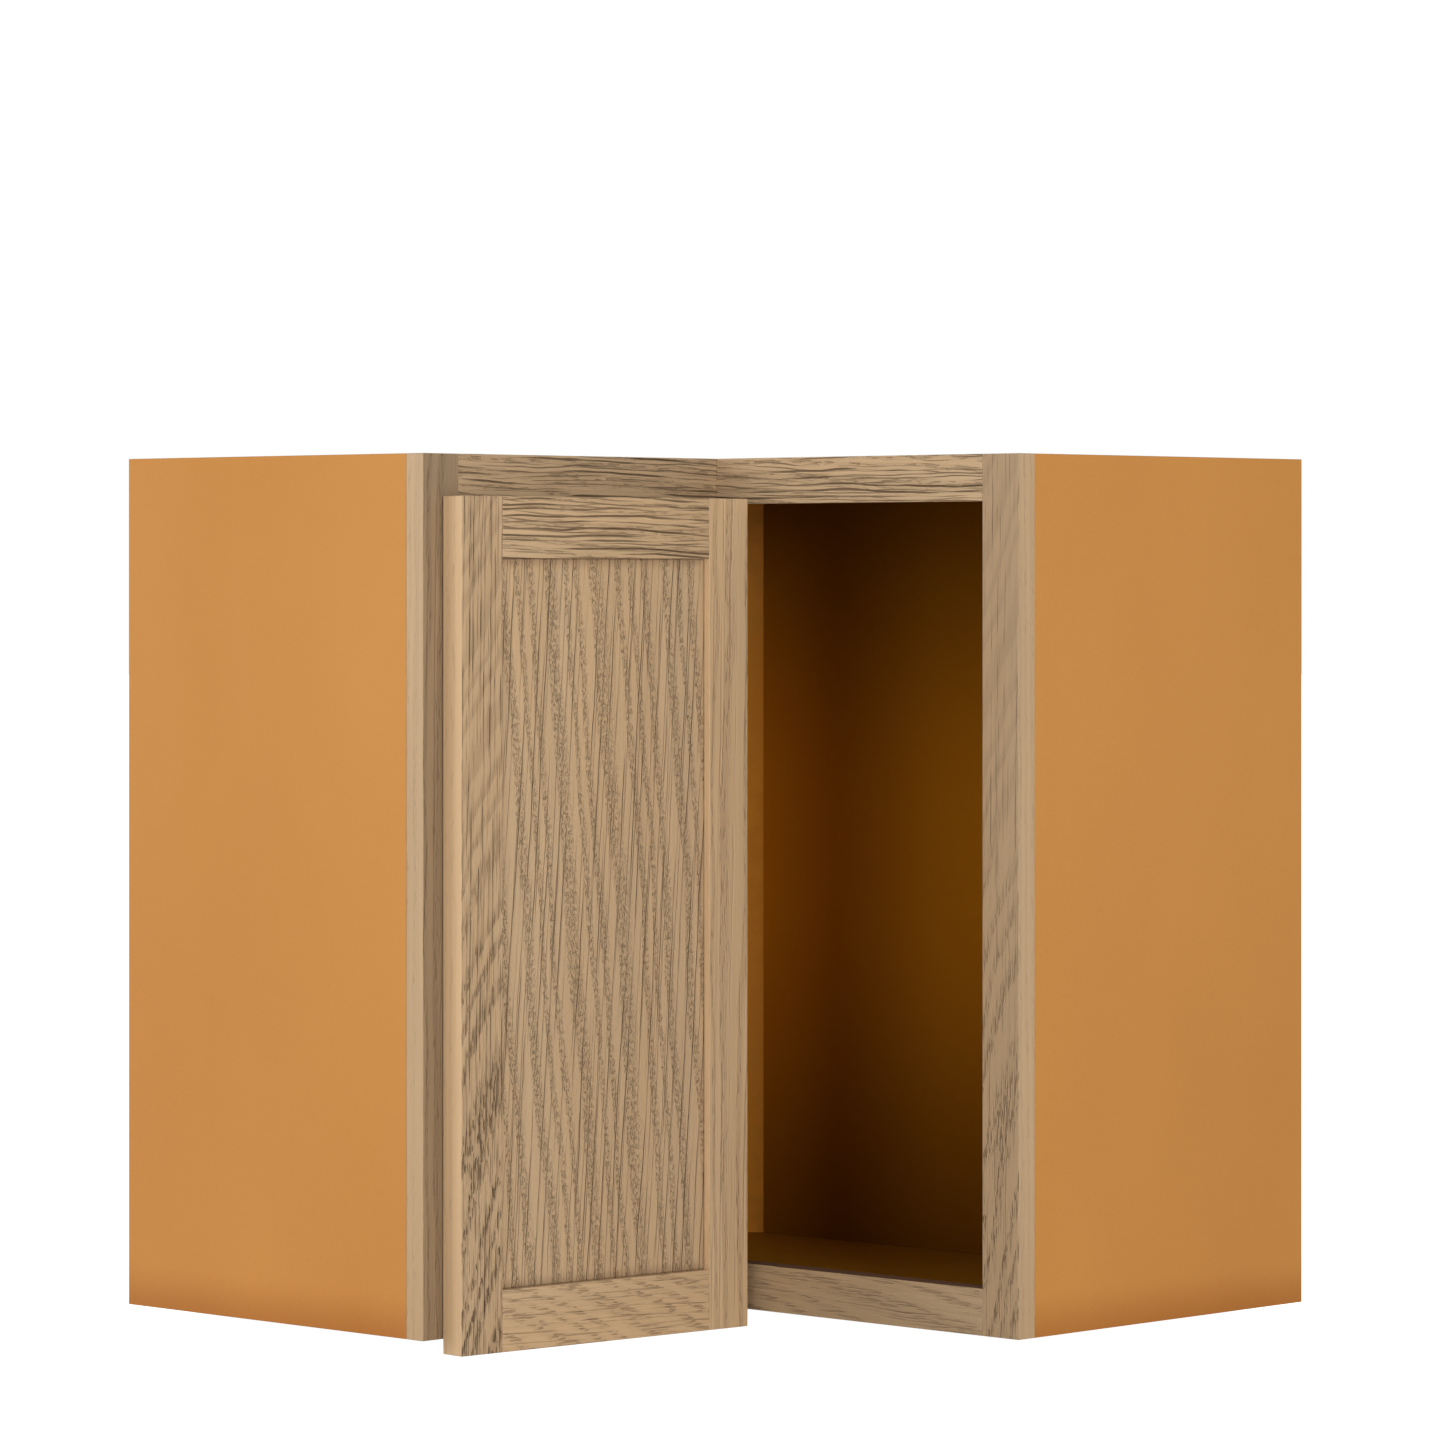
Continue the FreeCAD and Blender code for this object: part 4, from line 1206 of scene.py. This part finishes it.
# ------------------------------------------------------------------------------- the case
@dataclass
class Case:
    """End panels, top, floor, backs and hanging rails."""

    effects: Effects
    easing: float = 0.5 * MM
    board_easing: float = 0.25 * MM
    rail_easing: float = 0.8 * MM

    PINE = (srgb(226, 192, 140), srgb(168, 118, 66), 0.7)

    def __post_init__(self) -> None:
        """Read the case's planes from the frame and prepare its finishes."""
        self.seat_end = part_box("floor_panel")[1].x
        self.frame_back = -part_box("right_end_panel")[0].y
        self.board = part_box("floor_panel")[1].z
        self.inner_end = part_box("right_end_panel")[0].x
        back_low, back_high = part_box("right_back_panel")
        self.back_near, self.back_far = -back_high.y, -back_low.y
        corner_low, corner_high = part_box("corner_back_panel")
        self.corner_inner = corner_high.x + corner_low.x
        self.corner_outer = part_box("lower_right_hanging_rail")[0].x
        # the outer laminate darkens at its foot: painted shade
        self.outside = LaminateFinish(self.effects, "tan_laminate", srgb(205, 144, 74),
                                      srgb(178, 115, 53), 0.6, 0.15, foot_shade=0.75)
        # the interior laminate's colour is raised and its head and foot darkened: painted light and
        # shade for the light reaching mostly the middle height
        self.inside = LaminateFinish(self.effects, "interior_laminate", srgb(217, 138, 24),
                                     srgb(192, 113, 12), 0.5, 0.1, end_shade=0.65)
        # the floor board's laminate is a darker, less red copy of the interior laminate: painted
        # shade for the deep shade inside the case
        self.floor = LaminateFinish(self.effects, "floor_laminate_painted_shade", srgb(176, 130, 32),
                                    srgb(158, 112, 20), 0.5, 0.1)
        # the corner sheet's laminate is a lighter copy of the interior laminate: painted light where
        # light through the opening falls on it
        self.corner = LaminateFinish(self.effects, "corner_laminate_painted_light", srgb(240, 158, 42),
                                     srgb(222, 138, 30), 0.5, 0.12, end_shade=0.4)
        self.core = ChipboardFinish()
        self.rear = HardboardFinish()

    def build(self) -> None:
        """Build every piece of the case."""
        self._end_panel("right_end_panel", X, Y)
        self._end_panel("left_end_panel", -Y, -X)
        for node in ("floor_panel", "top_panel"):
            self._board(node)
        self._back("right_back_panel", Y)
        self._back("left_back_panel", -X)
        self._corner_back()
        for level in ("lower", "upper"):
            self._hanging_rail(f"{level}_right_hanging_rail", Axis.X, Y)
            self._hanging_rail(f"{level}_left_hanging_rail", Axis.Y, -X)

    def _end_panel(self, node: str, outward: Vector, rearward: Vector) -> None:
        """An end panel rebated for top and floor and slotted for the back panel.

        Args:
            node: the CAD node that it stands for.
            outward: the way its outer face looks.
            rearward: the way to the wall.
        """
        low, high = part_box(node)
        depth = self.seat_end - self.inner_end
        slim = Vector((abs(outward.x), abs(outward.y), 0.0)) * depth
        start = low + slim if outward.x > 0 else low.copy()
        end = high.copy() if outward.x > 0 else high - slim
        work = Workpiece("end_panel_" + node.split("_")[0], start, end).block()
        for level in (low.z + self.board, high.z - self.board):
            work.saw(Vector((0, 0, level)), Z)
        for depth_in in (self.back_near, self.back_far):
            work.saw(rearward * -depth_in, rearward)

        def seat(face: bmesh.types.BMFace) -> bool:
            """Whether a face is on the inner side, between the rebates and off the groove.

            Args:
                face: the face.

            Returns:
                Whether it is drawn out to hold the top and the floor.
            """
            middle = face.calc_center_median()
            into = -middle.dot(rearward)
            return (facing(-outward)(face) and low.z + self.board < middle.z < high.z - self.board
                    and not self.back_near < into < self.back_far)

        work.raise_faces(seat, -outward * depth)
        panel = work.finish(self.easing)
        deliver(panel, "cabinet", node, self.outside)
        inner_plane = self.inner_end - MM
        dress_faces(panel, self.inside, lambda face: face.normal.dot(-outward) > MAINLY
                    and abs(face.center.dot(outward)) > inner_plane)
        dress_faces(panel, self.core, lambda face: face.normal.dot(rearward) > MAINLY)

    def _board(self, node: str) -> None:
        """An L-shaped board: one wing, the other drawn out of its side, rear corner cut off.

        Args:
            node: the CAD node that it stands for.
        """
        low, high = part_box(node)
        notch = self.frame_back
        work = Workpiece(node.split("_")[0] + "_board", low,
                         Vector((notch, high.y, high.z))).block()
        work.saw(Vector((0, -notch, 0)), Y)
        work.raise_faces(lambda face: facing(X)(face) and face.calc_center_median().y > -notch,
                         X * (high.x - notch))
        cut = (Y - X).normalized()
        work.saw(Vector((self.corner_outer, 0, 0)), cut, drop=True)
        board = work.finish(self.board_easing)
        is_floor = node == "floor_panel"
        deliver(board, "cabinet", node, self.floor if is_floor else self.inside)
        inward = 1 if is_floor else -1
        dress_faces(board, self.outside, lambda face: face.normal.z * inward < -MAINLY)
        dress_faces(board, self.core, lambda face: abs(face.normal.z) < PARTLY
                    and face.normal.dot(Y - X) > PARTLY)

    def _back(self, node: str, rearward: Vector) -> None:
        """A thin back panel whose end meets the corner panel at a bevel.

        Args:
            node: the CAD node that it stands for.
            rearward: the way to the wall.
        """
        low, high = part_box(node)
        work = Workpiece(node.replace("_panel", "") + "_sheet", low, high).block()
        cut = (Y - X).normalized()
        work.saw(Vector((self.corner_inner, 0, 0)), cut, drop=True)
        panel = work.finish(self.board_easing)
        deliver(panel, "cabinet", node, self.rear)
        dress_faces(panel, self.inside, lambda face: face.normal.dot(-rearward) > MAINLY)

    def _corner_back(self) -> None:
        """The slanting panel across the rear corner."""
        low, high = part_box("corner_back_panel")
        work = Workpiece("corner_back_sheet", low, high).block()
        outward = (X - Y).normalized()
        work.saw(Vector((self.corner_inner, 0, 0)), outward, drop=True)
        work.saw(Vector((self.corner_outer, 0, 0)), -outward, drop=True)
        panel = work.finish(self.board_easing)
        deliver(panel, "cabinet", "corner_back_panel", self.rear)
        dress_faces(panel, self.corner, lambda face: face.normal.dot(outward) > MAINLY)
        dress_faces(panel, self.core, lambda face: abs(face.normal.dot(outward)) < MAINLY)

    def _hanging_rail(self, node: str, grain: Axis, face: Vector) -> None:
        """A softwood rail behind the back panel.

        Args:
            node: the CAD node that it stands for.
            grain: the axis that it runs along.
            face: the way to the wall.
        """
        low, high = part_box(node)
        rail = Workpiece(node.replace("_hanging", ""), low, high).block().finish(self.rail_easing)
        lie = Lie((low + high) / 2, grain.vector, face)
        apart = low.x * 3 + low.z
        finish = OakFinish(self.effects, "pine_" + node, lie, Figure.SLOPING, OakTone(*self.PINE),
                           apart)
        deliver(rail, "cabinet", node, finish)


# ---------------------------------------------------------------------------- face frames
@dataclass(frozen=True)
class Member:
    """One oak member of a frame: its node, how it lies and how it was cut."""

    node: str
    grain: Axis
    figure: Figure
    shift: float
    # the first scale sets the member's oak, partly its own tone and partly painted shade; the second
    # makes the side faces of upright members lighter, painted light
    tone_and_shade: float = 1.0
    edge_tone_and_light: float = 1.0

    def dress(self, effects: Effects, piece: bpy.types.Object, lie: Lie, body: str,
              recess: tuple[float, float] | None = None) -> None:
        """Deliver the member in its own oak, with smoother sanded edges in painted light if upright.

        Args:
            effects: the shared node groups.
            piece: the finished piece.
            lie: how the member lies.
            body: the CAD body that it moves with.
            recess: half the length and half the width that a sunk panel shows.
        """
        finish = OakFinish(effects, "oak_" + self.node, lie, self.figure, OAK.toned_and_lit(self.tone_and_shade),
                           self.shift, recess)
        deliver(piece, body, self.node, finish)
        if self.grain is not Axis.Z or recess is not None:
            return
        side = lie.face.cross(lie.grain)
        lit_sides = OakFinish(effects, "sanded_lit_" + self.node, Lie(lie.middle, lie.grain, side),
                           Figure.SANDED, OAK.toned_and_lit(self.edge_tone_and_light), self.shift)
        dress_faces(piece, lit_sides, lambda face: abs(face.normal.dot(side)) > MAINLY)


@dataclass
class FaceFrames:
    """The oak face frames of both open faces."""

    effects: Effects
    easing: float = 0.5 * MM

    RAIL_TOP_SHADE = (srgb(116, 90, 74), srgb(96, 73, 60))
    # painted shade in the scales: the left stile's front is darkened for the door's shadow, the
    # right stile's for the other wing's shade; the side faces are painted lighter
    MEMBERS = (
        (Member("left_frame_stile", Axis.Z, Figure.QUIET, 0.31, 0.55, 0.90), X),
        (Member("left_top_rail", Axis.Y, Figure.RUGGED, 1.73, 0.88), X),
        (Member("left_bottom_rail", Axis.Y, Figure.QUIET, 2.91), X),
        (Member("right_frame_stile", Axis.Z, Figure.ARCHED, 4.20, 0.71, 0.88), -Y),
        (Member("right_top_rail", Axis.X, Figure.RUGGED, 5.37, 0.96), -Y),
        (Member("right_bottom_rail", Axis.X, Figure.DASHED, 6.64, 0.74), -Y),
    )

    def build(self) -> None:
        """Build every member of both frames."""
        rail_top_shade = LaminateFinish(self.effects, "painted_rail_top_shade", *self.RAIL_TOP_SHADE, 0.6)
        for member, face in self.MEMBERS:
            low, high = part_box(member.node)
            piece = Workpiece(member.node + "_oak", low, high).block().finish(self.easing)
            lie = Lie((low + high) / 2, member.grain.vector, face)
            member.dress(self.effects, piece, lie, "cabinet")
            # painted shade: the bottom rails' upward faces get a dark brown finish for the shade
            # that lies on them
            if "bottom_rail" in member.node:
                dress_faces(piece, rail_top_shade, lambda face: face.normal.z > MAINLY)


# ---------------------------------------------------------------------------------- door
@dataclass
class Door:
    """The frame-and-panel door, modelled shut and then swung to where it stands."""

    effects: Effects
    easing: float = 0.6 * MM
    cup_play: float = 0.05 * MM

    def __post_init__(self) -> None:
        """Find the door's swing from its joint, and its grooves from its members."""
        joint = frame["joints"][0]
        pin = Matrix.Translation(joint["pos_m"])
        ajar = math.radians(-joint["range_deg"][0])
        turn = Matrix.Rotation(ajar, 4, Vector(joint["axis"]))
        self.swing = pin @ turn @ pin.inverted()
        self.face = (self.swing.to_3x3() @ X).normalized()
        panel_low, panel_high = self.shut_box("door_panel")
        self.panel_back, self.panel_face = panel_low.x, panel_high.x
        rail_low = self.shut_box("door_top_rail")[0]
        stile_high = self.shut_box("door_hinge_stile")[1]
        self.groove = stile_high.y - rail_low.y

    def shut_box(self, node: str) -> tuple[Vector, Vector]:
        """The corners of a door node's box with the door shut.

        Args:
            node: the CAD node.

        Returns:
            The lowest and the highest corner.
        """
        shut = self.swing.inverted()
        corners = [shut @ vertex.co for vertex in frame["nodes"][node].data.vertices]
        low = Vector(min(corner[axis] for corner in corners) for axis in range(3))
        high = Vector(max(corner[axis] for corner in corners) for axis in range(3))
        return low, high

    def build(self) -> None:
        """Build every member of the door."""
        # the scales mix each member's own tone with painted light: the stiles' side faces are
        # lighter for the light on the door's edges and in the panel's recess
        self._stile(Member("door_hinge_stile", Axis.Z, Figure.CHOPPED, 8.13, 0.95, 1.20), Y)
        self._stile(Member("door_free_stile", Axis.Z, Figure.QUIET, 9.46, 1.06, 1.32), -Y)
        self._rail(Member("door_top_rail", Axis.Y, Figure.RUGGED, 10.72), -Z)
        self._rail(Member("door_bottom_rail", Axis.Y, Figure.SLOPING, 12.05, 1.06), Z)
        self._panel(Member("door_panel", Axis.Z, Figure.PANEL, 13.38))

    def _split_thickness(self, work: Workpiece) -> None:
        """Cut lines where the panel groove's walls are."""
        for depth in (self.panel_back, self.panel_face):
            work.saw(Vector((depth, 0, 0)), X)

    def _is_lip(self, face: bmesh.types.BMFace) -> bool:
        """Whether a face is outside the groove's walls."""
        return not self.panel_back < face.calc_center_median().x < self.panel_face

    def _finish(self, work: Workpiece, member: Member,
                recess: tuple[float, float] | None = None) -> None:
        """Ease, place and dress one member.

        Args:
            work: the shaped workpiece.
            member: the member that it becomes.
            recess: half the length and half the width that a sunk panel shows.
        """
        piece = work.finish(self.easing, self.swing)
        low, high = self.shut_box(member.node)
        grain = self.swing.to_3x3() @ member.grain.vector
        lie = Lie(self.swing @ ((low + high) / 2), grain, self.face)
        member.dress(self.effects, piece, lie, "door", recess)

    def _stile(self, member: Member, inward: Vector) -> None:
        """A stile with a panel groove along its inner edge.

        Args:
            member: the stile.
            inward: the way to the panel.
        """
        low, high = self.shut_box(member.node)
        start, end = low.copy(), high.copy()
        if inward.y > 0:
            end.y -= self.groove
        else:
            start.y += self.groove
        work = Workpiece(member.node + "_oak", start, end).block()
        self._split_thickness(work)
        work.raise_faces(lambda face: facing(inward)(face) and self._is_lip(face),
                         inward * self.groove)
        if member.node == "door_hinge_stile":
            self._bore_for_cups(work, low.x)
        self._finish(work, member)

    def _bore_for_cups(self, work: Workpiece, back: float) -> None:
        """Bore the hinge stile's back for both hinge cups.

        Args:
            work: the hinge stile in edit mode.
            back: the X of the stile's back.
        """
        for level in ("lower", "upper"):
            cup_low, cup_high = self.shut_box(f"{level}_hinge_cup")
            mouth = (cup_low + cup_high) / 2
            mouth.x = back
            radius = (cup_high.y - cup_low.y) / 2 + self.cup_play
            work.drill(mouth, radius, cup_high.x - back + self.cup_play)

    def _rail(self, member: Member, inward: Vector) -> None:
        """A rail with a panel groove on its inner edge and a tongue at each end.

        Args:
            member: the rail.
            inward: the way to the panel.
        """
        low, high = self.shut_box(member.node)
        start, end = low.copy(), high.copy()
        start.y += self.groove
        end.y -= self.groove
        if inward.z > 0:
            end.z -= self.groove
        else:
            start.z += self.groove
        work = Workpiece(member.node + "_oak", start, end).block()
        self._split_thickness(work)
        work.raise_faces(lambda face: facing(inward)(face) and self._is_lip(face),
                         inward * self.groove)
        for side in (Y, -Y):
            work.raise_faces(lambda face: facing(side)(face) and not self._is_lip(face),
                             side * self.groove)
        self._finish(work, member)

    def _panel(self, member: Member) -> None:
        """The flat panel that floats in the grooves.

        Args:
            member: the panel.
        """
        low, high = self.shut_box(member.node)
        work = Workpiece(member.node + "_oak", low, high).block()
        sight = (self.shut_box("door_top_rail")[0].z - self.shut_box("door_bottom_rail")[1].z,
                 self.shut_box("door_free_stile")[0].y - self.shut_box("door_hinge_stile")[1].y)
        self._finish(work, member, (sight[0] / 2, sight[1] / 2))


# -------------------------------------------------------------------------------- hardware
@dataclass
class Hardware:
    """Hinges, screws, dowels and bumpers."""

    effects: Effects

    NICKEL = ("nickel_plate", srgb(196, 192, 184), 0.32, (500.0, 500.0, 40.0))
    DRAWN = ("drawn_pin", srgb(176, 174, 170), 0.28, (60.0, 60.0, 900.0))
    ZINC = ("zinc_screw", srgb(190, 178, 146), 0.38, (700.0, 700.0, 700.0))
    BEECH = OakTone(srgb(214, 178, 130), srgb(168, 124, 80), 0.7)
    BEECH_SHIFT = 0.7

    def build(self) -> None:
        """Dress every hardware node."""
        plated = SteelFinish(*self.NICKEL)
        low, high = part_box("frame_dowels")
        beech = OakFinish(self.effects, "beech", Lie((low + high) / 2, X, Z), Figure.QUIET,
                          self.BEECH, self.BEECH_SHIFT)
        finishes = {"hinge_pin": SteelFinish(*self.DRAWN), "screws": SteelFinish(*self.ZINC),
                    "hinge_cup": plated, "hinge_arm": plated, "mounting_plate": plated,
                    "door_bumpers": SoftDotFinish(), "frame_dowels": beech}
        for node, piece in frame["nodes"].items():
            for word, finish in finishes.items():
                if word in node:
                    coat(piece, finish)


# ---------------------------------------------------------------------------------- studio
@dataclass(frozen=True)
class Lamp:
    """One large soft light: its place, its width and its power in watts."""

    name: str
    place: tuple[float, float, float]
    size: float
    power: float


@dataclass
class Studio:
    """Floor, world, lights and camera."""

    floor_gap: float = 1.0 * MM
    floor_radius: float = 30.0
    middle: tuple[float, float, float] = (0.3, -0.3, 0.30)
    surround: float = 0.54
    reach: float = 100.0
    camera_place: tuple[float, float, float] = (3.4332, -3.5318, 0.5330)
    camera_forward: tuple[float, float, float] = (-0.6953, 0.7187, 0.0)
    focal_length: float = 152.4
    sensor: float = 36.0
    shift_down: float = -0.1003

    LAMPS = (Lamp("left_bank", (-2.47, -3.85, 1.3), 2.6, 55.0),
             Lamp("right_bank", (4.24, -2.48, 0.7), 0.8, 72.0),
             Lamp("front_fill", (2.2, -4.38, 0.6), 1.4, 16.0))
    FLOOR_SIDES = 96
    FLOOR_TINTS = (srgb(244, 244, 243), srgb(250, 250, 249))
    FLOOR_GRIT = (40.0, 40.0, 40.0)

    def build(self) -> None:
        """Set up everything round the object."""
        self._floor()
        self._world()
        for lamp in self.LAMPS:
            self._light(lamp)
        self._camera()
        bpy.context.scene.view_settings.view_transform = "Standard"

    def _floor(self) -> None:
        """A plain pale floor just under the door."""
        bpy.ops.object.select_all(action="DESELECT")
        level = CAD_BOX[0].z - self.floor_gap
        bpy.ops.mesh.primitive_circle_add(vertices=self.FLOOR_SIDES, radius=self.floor_radius,
                                          fill_type="NGON", location=(*self.middle[:2], level))
        floor = bpy.context.object
        floor.name = "studio_floor"
        finish = Finish()
        sheet, shader = finish.start("studio_floor", 0.9, specular=0.1)
        where = sheet.place_on_object()
        grit = sheet.noise(where, self.FLOOR_GRIT, 3.0)
        sheet.feed(shader.inputs["Base Color"], sheet.blend(grit, *self.FLOOR_TINTS))
        shader.inputs["Emission Color"].default_value = WHITE
        path = sheet.add("ShaderNodeLightPath")
        sheet.feed(shader.inputs["Emission Strength"], path.outputs["Is Camera Ray"])
        floor.data.materials.append(finish.material)

    def _world(self) -> None:
        """A white surround that the camera sees as plain white."""
        world = bpy.data.worlds.new("studio_surround")
        bpy.context.scene.world = world
        world.use_nodes = True
        world.node_tree.nodes.clear()
        sheet = NodeSheet(world.node_tree)
        path = sheet.add("ShaderNodeLightPath")
        background = sheet.add("ShaderNodeBackground")
        strength = sheet.add("ShaderNodeMix", data_type="FLOAT")
        sheet.feed(strength.inputs[0], path.outputs["Is Camera Ray"])
        sheet.feed(strength.inputs[2], self.surround)
        sheet.feed(strength.inputs[3], 1.0)
        background.inputs["Color"].default_value = WHITE
        sheet.feed(background.inputs["Strength"], strength.outputs[0])
        output = sheet.add("ShaderNodeOutputWorld")
        sheet.feed(output.inputs["Surface"], background.outputs[0])

    def _light(self, lamp: Lamp) -> None:
        """Put up a soft light, aimed at the cabinet's middle.

        Args:
            lamp: the light to put up.
        """
        glow = bpy.data.lights.new(lamp.name, "AREA")
        glow.shape = "DISK"
        glow.size = lamp.size
        glow.energy = lamp.power
        light = bpy.data.objects.new(lamp.name, glow)
        light.location = lamp.place
        aim = Vector(self.middle) - Vector(lamp.place)
        light.rotation_euler = aim.to_track_quat("-Z", "Y").to_euler()
        bpy.context.scene.collection.objects.link(light)

    def _camera(self) -> None:
        """The camera, level and in front of the inner corner."""
        lens = bpy.data.cameras.new("studio_camera")
        lens.lens = self.focal_length
        lens.sensor_width = self.sensor
        lens.shift_y = self.shift_down
        lens.clip_end = self.reach
        camera = bpy.data.objects.new("studio_camera", lens)
        camera.location = self.camera_place
        camera.rotation_euler = Vector(self.camera_forward).to_track_quat("-Z", "Y").to_euler()
        bpy.context.scene.collection.objects.link(camera)
        bpy.context.scene.camera = camera


def main() -> None:
    """Build the cabinet's looks and the studio in order."""
    effects = Effects()
    for assembly in (Case(effects), FaceFrames(effects), Door(effects), Hardware(effects), Studio()):
        assembly.build()
        log.info("%s done", type(assembly).__name__)


if __name__ == "__main__":
    main()
